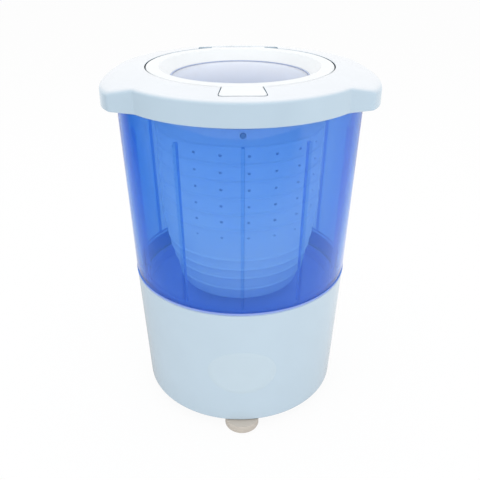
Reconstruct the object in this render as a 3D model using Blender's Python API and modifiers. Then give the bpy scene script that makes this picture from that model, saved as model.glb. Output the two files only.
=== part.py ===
"""Table-top spin dryer: a perforated drum on a motor shaft, inside a clear tub on a motor base.

Metres, +Z up. The origin is on the floor under the drum's axis, and the front faces -Y.
"""

import math

import bmesh
import bpy
from mathutils import Matrix, Vector

MM = 0.001

# General
GAP = 0.3 * MM
OVERRUN = 4.0 * MM
MERGE = 0.05 * MM
SEGMENTS = 32
INNER_SEGMENTS = 20
DRUM_SEGMENTS = 40
FOOT_SEGMENTS = 16
SMALL_SEGMENTS = 12
SHARP_ANGLE = math.radians(35.0)

# Stack of heights, from the floor up
FOOT_HEIGHT = 10.0 * MM
BASE_HEIGHT = 146.2 * MM
TUB_HEIGHT = 195.6 * MM
COVER_SKIRT = 23.6 * MM
COVER_RISE = 4.0 * MM

# Base housing
BASE_BOTTOM_RADIUS = 111.5 * MM
SEAM_RADIUS = 118.6 * MM
BASE_WALL = 2.8 * MM
BASE_EDGE_ROUND = 1.5 * MM
LEDGE_DROP = 21.0 * MM
LEDGE_WIDTH = 7.2 * MM
LEDGE_THICKNESS = 3.0 * MM

# Bottom plate and feet
PLATE_THICKNESS = 3.0 * MM
PLATE_CLEARANCE = 0.7 * MM
VENT_LENGTH = 26.0 * MM
VENT_WIDTH = 4.0 * MM
VENT_CIRCLE = 52.0 * MM
VENT_COUNT = 8
FOOT_RADIUS = 18.8 * MM
FOOT_CIRCLE = 102.8 * MM
FOOT_STEM_RADIUS = 3.5 * MM
FOOT_BARB = 1.6 * MM
FOOT_BARB_HEIGHT = 2.6 * MM
FOOT_EDGE = 1.0 * MM
FOOT_CUP_DEPTH = 2.0 * MM
FOOT_LIP = 4.0 * MM
FOOT_ANGLES = (-90.0, 30.0, 150.0)

# Tub
TUB_TOP_RADIUS = 125.8 * MM
TUB_WALL = 2.5 * MM
TUB_LAP = 8.0 * MM
TUB_LAP_CLEARANCE = 0.5 * MM
BEAD_HEIGHT = 3.0 * MM
BEAD_DEPTH = 0.5 * MM
RIB_COUNT = 12
RIB_THICKNESS = 3.0 * MM
RIB_DEPTH = 4.5 * MM
RIB_TOP_DROP = 19.0 * MM

# Tub floor
FLOOR_WALL = 2.5 * MM
FLOOR_CLEARANCE = 0.6 * MM
CHANNEL_DEPTH = 11.0 * MM
CHANNEL_WIDTH = 13.0 * MM
FLOOR_RISE = 3.7 * MM
FLOOR_HOLE_RADIUS = 24.0 * MM
FLOOR_LIP = 3.4 * MM
TUB_SEAL_THICKNESS = 1.2 * MM

# Drain spout
SPOUT_RADIUS = 8.0 * MM
SPOUT_BORE = 6.0 * MM
RISER_BORE = 4.5 * MM
SPOUT_REACH = 11.0 * MM
SPOUT_DROP = 15.0 * MM

# Top cover
COVER_OVERHANG = 2.6 * MM
COVER_WALL = 2.6 * MM
COVER_EDGE_ROUND = 3.4 * MM
EAR_REACH = 15.5 * MM
EAR_ANGLE = 26.5
EAR_SWEEP_RADIUS = 60.0 * MM
EAR_FACE_ANGLE = 70.0
EAR_FACE_SHARE = 0.87
EAR_CORNER = 7.0 * MM
EAR_CORNER_LEAST = 0.5 * MM
EAR_DROP = 4.5 * MM
SHOULDER_SHARE = 0.93
EAR_STEPS = 4
CORNER_STEPS = 3
FRONT_STEPS = 5
BACK_STEPS = 8
EDGE_STEPS = 2

# Lid
LID_RADIUS = 94.4 * MM
LID_CLEARANCE = 1.1 * MM
LID_RIM_WIDTH = 13.1 * MM
LID_THICKNESS = 12.0 * MM
LID_SLOPE_WIDTH = 10.7 * MM
LID_SLOPE_DEPTH = 10.1 * MM
LID_EDGE_ROUND = 1.4 * MM
LID_SEAT = 0.6 * MM
LEDGE_PLATE = 3.0 * MM
WINDOW_WALL = 1.8 * MM
WINDOW_CROWN = 5.0 * MM
WINDOW_STEPS = 3
WINDOW_CLEARANCE = 0.5 * MM
WINDOW_FLANGE = 3.2 * MM
WINDOW_LIP = 0.9 * MM
GASKET_WIDTH = 4.0 * MM
GASKET_DEPTH = 2.4 * MM
GASKET_INSET = 8.4 * MM
TAB_REACH_SHARE = 0.645
TAB_THICKNESS = 3.4 * MM
TAB_BACK_HALF_WIDTH = 17.6 * MM
TAB_FRONT_HALF_WIDTH = 20.6 * MM
TAB_CORNER = 4.5 * MM
TAB_PROUD = 0.5 * MM
TAB_SIDE_CLEARANCE = 0.7 * MM
TAB_FINGER_GAP = 1.6 * MM
TAB_WELL_DEPTH = 8.4 * MM

# Lid hinge
HINGE_SETBACK = 4.1 * MM
KNUCKLE_RADIUS = 4.6 * MM
KNUCKLE_LIFT = 2.5 * MM
KNUCKLE_WIDTH = 16.0 * MM
KNUCKLE_SPACING = 44.0 * MM
HINGE_PIN_RADIUS = 2.0 * MM
POCKET_WIDTH = 90.0 * MM
POCKET_CLEARANCE = 1.0 * MM

# Lid catch and safety switch
TONGUE_WIDTH = 12.0 * MM
TONGUE_THICKNESS = 2.4 * MM
TONGUE_LENGTH = 10.0 * MM
TONGUE_INSET = 3.2 * MM
TONGUE_INNER_CLEARANCE = 0.5 * MM
TONGUE_OUTER_CLEARANCE = 1.5 * MM
CATCH_WIDTH = 16.0 * MM
CATCH_WALL = 1.2 * MM
CATCH_DEPTH = 12.0 * MM
SWITCH_ANGLE = 135.0
SWITCH_INSET = 3.4 * MM
PLUNGER_RADIUS = 2.4 * MM
PLUNGER_LENGTH = 13.0 * MM
PLUNGER_CLEARANCE = 0.4 * MM
SWITCH_WIDTH = 16.0 * MM
SWITCH_BREADTH = 9.0 * MM
SWITCH_HEIGHT = 14.0 * MM

# Throat collar
THROAT_RADIUS = 76.0 * MM
COLLAR_WALL = 2.2 * MM
COLLAR_FLANGE = 9.0 * MM
COLLAR_TAPER = 2.4 * MM
COLLAR_HEIGHT = 20.5 * MM

# Drum
DRUM_TOP_RADIUS = 88.0 * MM
DRUM_WALL = 1.7 * MM
DRUM_HEAD_CLEARANCE = 2.4 * MM
DRUM_FLOOR_CLEARANCE = 3.0 * MM
BEAD_PITCH = 17.4 * MM
BEAD_PROUD = 1.1 * MM
BEAD_BREADTH = 4.2 * MM
BEAD_START = 17.3 * MM
BEAD_COUNT = 6
HOLE_RADIUS = 1.6 * MM
HOLE_COLUMNS = 20
HOLE_SIDES = 4
DRUM_HEIGHT_SHARES = (1.0, 0.418, 0.327, 0.226, 0.125, 0.03, 0.0)
DRUM_RADIUS_SHARES = (1.0, 0.973, 0.932, 0.894, 0.826, 0.768, 0.745)
BOWL_BEAD_SHARES = (0.276, 0.175)
RIM_WIDTH = 9.0 * MM
RIM_HEIGHT = 11.0 * MM
RIM_LIP = 1.5 * MM

# Shaft, hub and bearings
SHAFT_RADIUS = 6.0 * MM
SHAFT_CLEARANCE = 0.3 * MM
HUB_RADIUS = 32.0 * MM
HUB_THICKNESS = 4.0 * MM
HUB_BOSS_RADIUS = 12.0 * MM
HUB_BOSS_HEIGHT = 11.0 * MM
NUT_RADIUS = 10.0 * MM
NUT_HEIGHT = 9.0 * MM
NUT_DOME = 3.0 * MM
HOUSING_LENGTH = 30.3 * MM
HOUSING_RADIUS = 20.0 * MM
HOUSING_FLANGE_RADIUS = 34.0 * MM
HOUSING_FLANGE = 4.0 * MM
BEARING_RADIUS = 15.0 * MM
BEARING_HEIGHT = 8.0 * MM
HOUSING_LIP = 1.6 * MM
SEAL_WALL = 1.6 * MM
SEAL_LEG = 5.0 * MM

# Motor
MOUNT_RADIUS = 9.0 * MM
MOUNT_HEIGHT = 18.0 * MM
MOUNT_WAIST = 2.2 * MM
MOUNT_CIRCLE = 70.0 * MM
MOUNT_BOSS_HEIGHT = 6.0 * MM
MOUNT_ANGLES = (90.0, 210.0, 330.0)
MOTOR_PLATE_RADIUS = 84.0 * MM
MOTOR_PLATE_THICKNESS = 3.0 * MM
MOTOR_PLATE_HOLE = 16.0 * MM
MOTOR_RADIUS = 46.0 * MM
MOTOR_WALL = 2.5 * MM
CAP_HEIGHT = 16.0 * MM
STATOR_WALL = 19.0 * MM
WINDING_HEIGHT = 9.0 * MM
WINDING_INSET = 5.0 * MM
SHAFT_ENGAGEMENT = 5.0 * MM
ROTOR_CLEARANCE = 0.6 * MM
SHAFT_TAIL = 6.0 * MM
CAPACITOR_RADIUS = 10.0 * MM
CAPACITOR_LENGTH = 50.0 * MM
CAPACITOR_OFFSET = 46.0 * MM

# Cord gland
GLAND_RADIUS = 6.0 * MM
GLAND_FLANGE = 2.5 * MM
GLAND_FLANGE_THICKNESS = 3.0 * MM
GLAND_BORE = 3.4 * MM
GLAND_LENGTH = 14.0 * MM
GLAND_HEIGHT = 24.0 * MM

# Heights worked out from the stack
BASE_Z = FOOT_HEIGHT
SEAM_Z = BASE_Z + BASE_HEIGHT
TUB_Z = SEAM_Z + GAP
TUB_TOP_Z = TUB_Z + TUB_HEIGHT
COVER_Z = TUB_TOP_Z + GAP
LID_Z = COVER_Z + COVER_SKIRT + COVER_RISE
LID_BOTTOM_Z = LID_Z - LID_THICKNESS
COVER_LEDGE_Z = LID_BOTTOM_Z - LID_SEAT
COVER_LEDGE_BOTTOM_Z = COVER_LEDGE_Z - LEDGE_PLATE
LEDGE_Z = SEAM_Z - LEDGE_DROP
FLOOR_FLANGE_Z = LEDGE_Z + GAP
SPIGOT_Z = FLOOR_FLANGE_Z + FLOOR_WALL + GAP + TUB_SEAL_THICKNESS + GAP
CHANNEL_Z = FLOOR_FLANGE_Z - CHANNEL_DEPTH
FLOOR_CENTRE_Z = CHANNEL_Z + FLOOR_RISE
PLATE_TOP_Z = BASE_Z + PLATE_THICKNESS
MOUNT_Z = PLATE_TOP_Z + MOUNT_BOSS_HEIGHT + GAP
MOTOR_PLATE_Z = MOUNT_Z + MOUNT_HEIGHT + GAP
LOWER_CAP_Z = MOTOR_PLATE_Z + MOTOR_PLATE_THICKNESS + GAP
HOUSING_TOP_Z = FLOOR_CENTRE_Z + FLOOR_WALL + FLOOR_LIP
HOUSING_Z = HOUSING_TOP_Z - HOUSING_LENGTH
UPPER_CAP_Z = HOUSING_Z - GAP - CAP_HEIGHT
STATOR_Z = LOWER_CAP_Z + CAP_HEIGHT + GAP
STATOR_HEIGHT = UPPER_CAP_Z - GAP - STATOR_Z
SEAL_TOP_Z = HOUSING_TOP_Z + GAP + SEAL_WALL
HUB_Z = SEAL_TOP_Z + DRUM_FLOOR_CLEARANCE
DRUM_Z = HUB_Z + HUB_THICKNESS + GAP
HUB_TOP_Z = DRUM_Z + HUB_BOSS_HEIGHT
COLLAR_TOP_Z = COVER_LEDGE_BOTTOM_Z - GAP
COLLAR_Z = COLLAR_TOP_Z - COLLAR_HEIGHT
DRUM_TOP_Z = COLLAR_Z - DRUM_HEAD_CLEARANCE - RIM_LIP - GAP

# Radii worked out from the same sizes
COVER_RADIUS = TUB_TOP_RADIUS + COVER_OVERHANG
EAR_FACE_REACH = COVER_RADIUS * EAR_FACE_SHARE
RECESS_RADIUS = LID_RADIUS + LID_CLEARANCE
TUB_LAP_RADIUS = COVER_RADIUS - COVER_WALL - TUB_LAP_CLEARANCE
LEDGE_RADIUS = SEAM_RADIUS - BASE_WALL - LEDGE_WIDTH
STATOR_BORE = MOTOR_RADIUS - STATOR_WALL
ROTOR_RADIUS = STATOR_BORE - ROTOR_CLEARANCE
SHAFT_BORE = SHAFT_RADIUS + SHAFT_CLEARANCE

# The lid's hinge, behind its rim
HINGE_Y = LID_RADIUS + HINGE_SETBACK
POCKET_FLOOR_Z = COVER_LEDGE_Z - POCKET_CLEARANCE
HINGE_Z = POCKET_FLOOR_Z + POCKET_CLEARANCE + KNUCKLE_LIFT + KNUCKLE_RADIUS
SWEEP_RADIUS = math.hypot(HINGE_SETBACK, LID_Z - HINGE_Z)
POCKET_BACK_Y = HINGE_Y + SWEEP_RADIUS + POCKET_CLEARANCE


def start_scene():
    for obj in list(bpy.data.objects):
        bpy.data.objects.remove(obj)


def new_collection(name):
    collection = bpy.data.collections.new(name)
    bpy.context.scene.collection.children.link(collection)
    return collection


def new_material(name, srgb_hex, roughness, metallic=0.0, alpha=1.0):
    material = bpy.data.materials.new(name)
    material.use_nodes = True
    shader = material.node_tree.nodes["Principled BSDF"]
    channels = [int(srgb_hex[i : i + 2], 16) / 255 for i in (0, 2, 4)]
    linear = [c / 12.92 if c <= 0.04045 else ((c + 0.055) / 1.055) ** 2.4 for c in channels]
    shader.inputs["Base Color"].default_value = (*linear, 1.0)
    shader.inputs["Roughness"].default_value = roughness
    shader.inputs["Metallic"].default_value = metallic
    shader.inputs["Alpha"].default_value = alpha
    material.diffuse_color = (*linear, alpha)
    return material


start_scene()
PARTS = new_collection("spin_dryer")
CUTTERS = new_collection("cutters")
PALE_BLUE = new_material("pale_blue_plastic", "C6D7E3", 0.35)
CLEAR_BLUE = new_material("clear_blue_plastic", "3C86E4", 0.08, alpha=0.55)
WHITE = new_material("white_plastic", "F6F8F9", 0.3)
CLEAR = new_material("clear_plastic", "DCE6F4", 0.05, alpha=0.4)
DRUM_WHITE = new_material("drum_plastic", "E8EEF6", 0.4)
GREY_PLASTIC = new_material("grey_plastic", "8A8F96", 0.5)
CREAM_RUBBER = new_material("cream_rubber", "D6D0C8", 0.8)
BLACK_RUBBER = new_material("black_rubber", "1F2022", 0.75)
STEEL = new_material("steel", "C4C6C8", 0.3, metallic=1.0)
CAST_ALUMINIUM = new_material("cast_aluminium", "AEB2B6", 0.5, metallic=1.0)
LAMINATED_STEEL = new_material("laminated_steel", "6E6A66", 0.55, metallic=0.8)


def on_circle(radius, degrees, height=0.0):
    turn = math.radians(degrees)
    return Vector((radius * math.cos(turn), radius * math.sin(turn), height))


def add_object(name, mesh, material=None):
    """A part where a material is given, else a cutter or a piece to be joined on."""
    obj = bpy.data.objects.new(name, mesh)
    if material is None:
        CUTTERS.objects.link(obj)
        obj.hide_render = True
        obj.display_type = "WIRE"
    else:
        PARTS.objects.link(obj)
        mesh.materials.append(material)
    return obj


def mesh_from(bm, name):
    mesh = bpy.data.meshes.new(name)
    bm.to_mesh(mesh)
    bm.free()
    return mesh


def clockwise(profile):
    """The profile ordered down its outer side, so that the turned faces point out."""
    area = sum(a[0] * b[1] - b[0] * a[1] for a, b in zip(profile, profile[1:] + profile[:1]))
    return profile if area < 0 else profile[::-1]


def turned(name, profile, material=None, segments=SEGMENTS, centre=(0.0, 0.0, 0.0)):
    """A profile of (radius, height) points turned about the vertical through the centre."""
    points = clockwise(profile)
    bm = bmesh.new()
    verts = [bm.verts.new((radius, 0.0, height)) for radius, height in points]
    for first, second in zip(verts, verts[1:]):
        bm.edges.new((first, second))
    if min(points[0][0], points[-1][0]) > 0.0:
        bm.edges.new((verts[-1], verts[0]))
    obj = add_object(name, mesh_from(bm, name), material)
    obj.location = centre
    screw = obj.modifiers.new("turn", "SCREW")
    screw.steps = segments
    screw.render_steps = segments
    screw.use_merge_vertices = True
    screw.merge_threshold = MERGE
    return obj


def box(name, low, high, material=None):
    bm = bmesh.new()
    bmesh.ops.create_cube(bm, size=1.0)
    low = Vector(low)
    high = Vector(high)
    bmesh.ops.scale(bm, vec=high - low, verts=bm.verts)
    bmesh.ops.translate(bm, vec=(low + high) / 2, verts=bm.verts)
    return add_object(name, mesh_from(bm, name), material)


def rod(name, start, end, radius, material=None, sides=SMALL_SEGMENTS):
    """A cylinder from one point to another."""
    start = Vector(start)
    along = Vector(end) - start
    bm = bmesh.new()
    bmesh.ops.create_cone(
        bm, cap_ends=True, segments=sides, radius1=radius, radius2=radius, depth=along.length
    )
    turn = along.to_track_quat("Z", "Y").to_matrix().to_4x4()
    place = Matrix.Translation(start + along / 2) @ turn
    bmesh.ops.transform(bm, matrix=place, verts=bm.verts)
    return add_object(name, mesh_from(bm, name), material)


def disc(name, low, high, radius, material=None):
    """An upright cylinder on the part's axis, between two heights."""
    return rod(name, (0.0, 0.0, low), (0.0, 0.0, high), radius, material, INNER_SEGMENTS)


def prism(name, outline, depth, place, material=None):
    """A flat outline raised along its own Z by the depth, then placed by a matrix."""
    bm = bmesh.new()
    face = bm.faces.new([bm.verts.new((x, y, 0.0)) for x, y in outline])
    raised = bmesh.ops.extrude_face_region(bm, geom=[face])["geom"]
    lifted = [item for item in raised if isinstance(item, bmesh.types.BMVert)]
    bmesh.ops.translate(bm, vec=(0.0, 0.0, depth), verts=lifted)
    bmesh.ops.recalc_face_normals(bm, faces=bm.faces)
    bmesh.ops.transform(bm, matrix=place, verts=bm.verts)
    return add_object(name, mesh_from(bm, name), material)


def boolean(target, other, operation):
    modifier = target.modifiers.new(other.name, "BOOLEAN")
    modifier.object = other
    modifier.operation = operation
    modifier.solver = "EXACT"


def cut(target, *cutters):
    for cutter in cutters:
        boolean(target, cutter, "DIFFERENCE")


def join(target, *additions):
    for addition in additions:
        boolean(target, addition, "UNION")


def arc(centre, radius, start, end, steps):
    """Points along an arc, in a plane, from one angle in degrees to another."""
    points = []
    for step in range(steps + 1):
        turn = math.radians(start + (end - start) * step / steps)
        points.append((centre[0] + radius * math.cos(turn), centre[1] + radius * math.sin(turn)))
    return points


def base_radius(height):
    """Outer radius of the base, which widens evenly from its foot to the seam."""
    share = (height - BASE_Z) / BASE_HEIGHT
    return BASE_BOTTOM_RADIUS + (SEAM_RADIUS - BASE_BOTTOM_RADIUS) * share


def tub_radius(height):
    """Outer radius of the tub, which goes on widening from the seam to the cover."""
    share = (height - TUB_Z) / TUB_HEIGHT
    return SEAM_RADIUS + (TUB_TOP_RADIUS - SEAM_RADIUS) * share


def cover_height(radius):
    """Height of the cover's top face, which falls gently from the lid, and faster over an ear."""
    fall = COVER_RISE / (COVER_RADIUS - RECESS_RADIUS)
    over_ear = max(0.0, radius - COVER_RADIUS) / EAR_REACH
    return LID_Z - fall * (radius - RECESS_RADIUS) - EAR_DROP * over_ear**2


def make_base_shell():
    inner_top = SEAM_RADIUS - BASE_WALL
    ledge_bottom = LEDGE_Z - LEDGE_THICKNESS
    gusset_bottom = ledge_bottom - LEDGE_WIDTH
    shell = turned(
        "base_shell",
        [
            (SEAM_RADIUS, SEAM_Z),
            (base_radius(BASE_Z + BASE_EDGE_ROUND), BASE_Z + BASE_EDGE_ROUND),
            (BASE_BOTTOM_RADIUS - BASE_EDGE_ROUND, BASE_Z),
            (BASE_BOTTOM_RADIUS - BASE_WALL, BASE_Z),
            (base_radius(gusset_bottom) - BASE_WALL, gusset_bottom),
            (LEDGE_RADIUS, ledge_bottom),
            (LEDGE_RADIUS, LEDGE_Z),
            (base_radius(LEDGE_Z) - BASE_WALL, LEDGE_Z),
            (inner_top, SEAM_Z),
        ],
        PALE_BLUE,
    )
    spout_z = spout_height()
    spout_hole = rod(
        "spout_hole",
        (0.0, LEDGE_RADIUS - LEDGE_WIDTH, spout_z),
        (0.0, base_radius(spout_z) + OVERRUN, spout_z),
        SPOUT_RADIUS + GAP,
    )
    gland_z = BASE_Z + GLAND_HEIGHT
    gland_hole = rod(
        "gland_hole",
        (0.0, base_radius(gland_z) - GLAND_LENGTH, gland_z),
        (0.0, base_radius(gland_z) + OVERRUN, gland_z),
        GLAND_RADIUS + GAP,
    )
    cut(shell, spout_hole, gland_hole)


def make_bottom_plate():
    radius = BASE_BOTTOM_RADIUS - BASE_WALL - PLATE_CLEARANCE
    plate = disc("bottom_plate", BASE_Z, PLATE_TOP_Z, radius, PALE_BLUE)
    for index, angle in enumerate(MOUNT_ANGLES):
        foot = on_circle(MOUNT_CIRCLE, angle, BASE_Z + PLATE_THICKNESS / 2)
        top = on_circle(MOUNT_CIRCLE, angle, PLATE_TOP_Z + MOUNT_BOSS_HEIGHT)
        join(plate, rod(f"mount_boss_{index}", foot, top, MOUNT_RADIUS))
    for index, angle in enumerate(FOOT_ANGLES):
        low = on_circle(FOOT_CIRCLE, angle, BASE_Z - OVERRUN)
        high = on_circle(FOOT_CIRCLE, angle, PLATE_TOP_Z + OVERRUN)
        cut(plate, rod(f"stem_hole_{index}", low, high, FOOT_STEM_RADIUS + GAP))
    cut(plate, vent_slots())


def vent_slots():
    """Radial cooling slots under the motor, as one cutter."""
    bm = bmesh.new()
    for index in range(VENT_COUNT):
        made = bmesh.ops.create_cube(bm, size=1.0)["verts"]
        height = PLATE_THICKNESS + 2 * OVERRUN
        bmesh.ops.scale(bm, vec=(VENT_LENGTH, VENT_WIDTH, height), verts=made)
        turn = Matrix.Rotation(math.tau * (index + 0.5) / VENT_COUNT, 4, "Z")
        place = turn @ Matrix.Translation((VENT_CIRCLE, 0.0, BASE_Z + PLATE_THICKNESS / 2))
        bmesh.ops.transform(bm, matrix=place, verts=made)
    return add_object("vent_slots", mesh_from(bm, "vent_slots"))


def make_feet():
    """Rubber feet with a shallow cup below and a barbed stem through the bottom plate."""
    top = BASE_Z - GAP
    barb_z = PLATE_TOP_Z + GAP
    cup_radius = FOOT_RADIUS - FOOT_LIP
    profile = [
        (0.0, barb_z + FOOT_BARB_HEIGHT),
        (FOOT_STEM_RADIUS, barb_z + FOOT_BARB_HEIGHT),
        (FOOT_STEM_RADIUS + FOOT_BARB, barb_z),
        (FOOT_STEM_RADIUS, barb_z),
        (FOOT_STEM_RADIUS, top),
        (FOOT_RADIUS, top),
        (FOOT_RADIUS, FOOT_EDGE),
        (FOOT_RADIUS - FOOT_EDGE, 0.0),
        (cup_radius, 0.0),
        (cup_radius - FOOT_CUP_DEPTH, FOOT_CUP_DEPTH),
        (0.0, FOOT_CUP_DEPTH),
    ]
    for name, angle in zip(("foot_front", "foot_right", "foot_left"), FOOT_ANGLES):
        turned(name, profile, CREAM_RUBBER, FOOT_SEGMENTS, on_circle(FOOT_CIRCLE, angle))


def make_tub():
    """A clear wall with a bead over the seam, a spigot into the base and a lap in the cover."""
    bead_radius = SEAM_RADIUS + BEAD_DEPTH
    bead_top = TUB_Z + BEAD_HEIGHT
    spigot_top_radius = SEAM_RADIUS - BASE_WALL - GAP
    spigot_radius = base_radius(SPIGOT_Z) - BASE_WALL - GAP
    lap_top = TUB_TOP_Z + TUB_LAP
    lap_inner = TUB_TOP_RADIUS - TUB_WALL
    tub = turned(
        "tub",
        [
            (TUB_LAP_RADIUS, lap_top),
            (TUB_LAP_RADIUS, TUB_TOP_Z),
            (TUB_TOP_RADIUS, TUB_TOP_Z),
            (tub_radius(bead_top), bead_top),
            (bead_radius, bead_top),
            (bead_radius, TUB_Z),
            (spigot_top_radius, TUB_Z),
            (spigot_radius, SPIGOT_Z),
            (spigot_radius - TUB_WALL, SPIGOT_Z),
            (spigot_top_radius - TUB_WALL, TUB_Z),
            (lap_inner, TUB_TOP_Z),
            (lap_inner, lap_top),
        ],
        CLEAR_BLUE,
    )
    join(tub, tub_ribs())


def tub_ribs():
    """Upright ribs that follow the slope of the tub's inner wall, as one body to join on."""
    low_z = TUB_Z
    high_z = TUB_TOP_Z - RIB_TOP_DROP
    bm = bmesh.new()
    for index in range(RIB_COUNT):
        made = bmesh.ops.create_cube(bm, size=1.0)["verts"]
        for vert in made:
            height = high_z if vert.co.z > 0.0 else low_z
            wall = tub_radius(height) - TUB_WALL
            vert.co.x = wall + TUB_WALL / 2 if vert.co.x > 0.0 else wall - RIB_DEPTH
            vert.co.y = vert.co.y * RIB_THICKNESS
            vert.co.z = height
        turn = Matrix.Rotation(math.tau * index / RIB_COUNT, 4, "Z")
        bmesh.ops.transform(bm, matrix=turn, verts=made)
    return add_object("tub_ribs", mesh_from(bm, "tub_ribs"))


def make_tub_floor():
    """A pan on the base's ledge, with a drain channel round it and a lip round its hole."""
    flange_radius = base_radius(FLOOR_FLANGE_Z) - BASE_WALL - FLOOR_CLEARANCE
    wall_radius = LEDGE_RADIUS - FLOOR_CLEARANCE
    channel_inner = wall_radius - CHANNEL_WIDTH
    floor_top = FLOOR_CENTRE_Z + FLOOR_WALL
    lip_radius = FLOOR_HOLE_RADIUS + FLOOR_WALL
    channel_top = CHANNEL_Z + FLOOR_WALL
    flange_top = FLOOR_FLANGE_Z + FLOOR_WALL
    pan = turned(
        "tub_floor",
        [
            (flange_radius, flange_top),
            (flange_radius, FLOOR_FLANGE_Z),
            (wall_radius, FLOOR_FLANGE_Z),
            (wall_radius, CHANNEL_Z),
            (channel_inner, CHANNEL_Z),
            (lip_radius, FLOOR_CENTRE_Z),
            (FLOOR_HOLE_RADIUS, FLOOR_CENTRE_Z),
            (FLOOR_HOLE_RADIUS, floor_top + FLOOR_LIP),
            (lip_radius, floor_top + FLOOR_LIP),
            (lip_radius, floor_top),
            (channel_inner, channel_top),
            (wall_radius - FLOOR_WALL, channel_top),
            (wall_radius - FLOOR_WALL, flange_top),
        ],
        GREY_PLASTIC,
        INNER_SEGMENTS,
    )
    low = (0.0, channel_centre(), CHANNEL_Z - OVERRUN)
    high = (0.0, channel_centre(), channel_top + OVERRUN)
    cut(pan, rod("drain_hole", low, high, RISER_BORE))


def channel_centre():
    """Distance from the axis to the middle of the drain channel."""
    return LEDGE_RADIUS - FLOOR_CLEARANCE - (CHANNEL_WIDTH + FLOOR_WALL) / 2


def make_tub_seal():
    """A flat rubber ring squeezed between the tub's spigot and the floor's flange."""
    top = SPIGOT_Z - GAP
    outer = base_radius(FLOOR_FLANGE_Z) - BASE_WALL - FLOOR_CLEARANCE
    inner = outer - TUB_WALL
    bottom = FLOOR_FLANGE_Z + FLOOR_WALL + GAP
    profile = [(outer, top), (outer, bottom), (inner, bottom), (inner, top)]
    turned("tub_seal", profile, BLACK_RUBBER, INNER_SEGMENTS)


def spout_height():
    return CHANNEL_Z - SPOUT_DROP


def make_drain_spout():
    """An elbow from the drain channel out through the back of the base."""
    spout_z = spout_height()
    riser_y = channel_centre()
    end_y = base_radius(spout_z) + SPOUT_REACH
    spout = rod(
        "drain_spout",
        (0.0, riser_y - SPOUT_RADIUS, spout_z),
        (0.0, end_y, spout_z),
        SPOUT_RADIUS,
        GREY_PLASTIC,
    )
    riser_top = CHANNEL_Z - GAP
    wall = SPOUT_RADIUS - SPOUT_BORE
    riser = rod(
        "spout_riser",
        (0.0, riser_y, spout_z),
        (0.0, riser_y, riser_top),
        RISER_BORE + wall,
    )
    bore = rod(
        "spout_bore",
        (0.0, riser_y - SPOUT_BORE, spout_z),
        (0.0, end_y + OVERRUN, spout_z),
        SPOUT_BORE,
    )
    riser_bore = rod(
        "spout_riser_bore",
        (0.0, riser_y, spout_z),
        (0.0, riser_y, riser_top + OVERRUN),
        RISER_BORE,
    )
    join(spout, riser)
    cut(spout, bore, riser_bore)


def make_cord_gland():
    """A flanged bush in the back of the base, where the mains cord enters."""
    height = BASE_Z + GLAND_HEIGHT
    reach = GLAND_RADIUS + GLAND_FLANGE
    wall_y = max(base_radius(height - reach), base_radius(height + reach)) + GAP
    inner_y = wall_y - GLAND_LENGTH
    outer_y = wall_y + GLAND_FLANGE_THICKNESS
    gland = rod("cord_gland", (0.0, inner_y, height), (0.0, outer_y, height), GLAND_RADIUS, BLACK_RUBBER)
    flange = rod("gland_flange", (0.0, wall_y, height), (0.0, outer_y, height), reach)
    bore = rod(
        "gland_bore",
        (0.0, inner_y - OVERRUN, height),
        (0.0, outer_y + OVERRUN, height),
        GLAND_BORE,
    )
    join(gland, flange)
    cut(gland, bore)


def cover_outline(inset):
    """The cover seen from above, drawn in by an inset: a circle with an ear swept forward on each side.

    From the front, the circle meets the ear's flat front face. A corner leads to the ear's long outer
    edge, and a straight line that touches both leads back to the circle.
    """
    ring = COVER_RADIUS - inset
    sweep_reach = COVER_RADIUS + EAR_REACH - EAR_SWEEP_RADIUS
    sweep = on_circle(sweep_reach, -EAR_ANGLE)
    leaving = math.degrees(math.acos((COVER_RADIUS - EAR_SWEEP_RADIUS) / sweep_reach)) - EAR_ANGLE
    towards_face = sweep_reach * math.cos(math.radians(EAR_FACE_ANGLE - EAR_ANGLE))
    corner_share = (EAR_FACE_REACH - EAR_CORNER - towards_face) / (EAR_SWEEP_RADIUS - EAR_CORNER)
    turning = math.degrees(math.acos(corner_share)) - EAR_FACE_ANGLE
    corner = sweep + on_circle(EAR_SWEEP_RADIUS - EAR_CORNER, turning)
    meeting = math.degrees(math.acos((EAR_FACE_REACH - inset) / ring)) - EAR_FACE_ANGLE
    ring_start = on_circle(ring, leaving)
    half = arc((0.0, 0.0), ring, -90.0, meeting, FRONT_STEPS)
    half += arc(corner, EAR_CORNER - inset, -EAR_FACE_ANGLE, turning, CORNER_STEPS)
    half += arc(sweep, EAR_SWEEP_RADIUS - inset, turning, leaving, EAR_STEPS)[1:]
    half.append(((half[-1][0] + ring_start[0]) / 2, (half[-1][1] + ring_start[1]) / 2))
    half += arc((0.0, 0.0), ring, leaving, 90.0, BACK_STEPS)
    return half + [(-x, y) for x, y in half[-2:0:-1]]


def loft(name, rings, material):
    """A closed shell through rings of as many points each, the last one joined to the first."""
    bm = bmesh.new()
    rows = [[bm.verts.new(point) for point in ring] for ring in rings]
    for row, following in zip(rows, rows[1:] + rows[:1]):
        for index in range(len(row)):
            past = (index + 1) % len(row)
            bm.faces.new((row[index], row[past], following[past], following[index]))
    bmesh.ops.recalc_face_normals(bm, faces=bm.faces)
    return add_object(name, mesh_from(bm, name), material)


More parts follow.
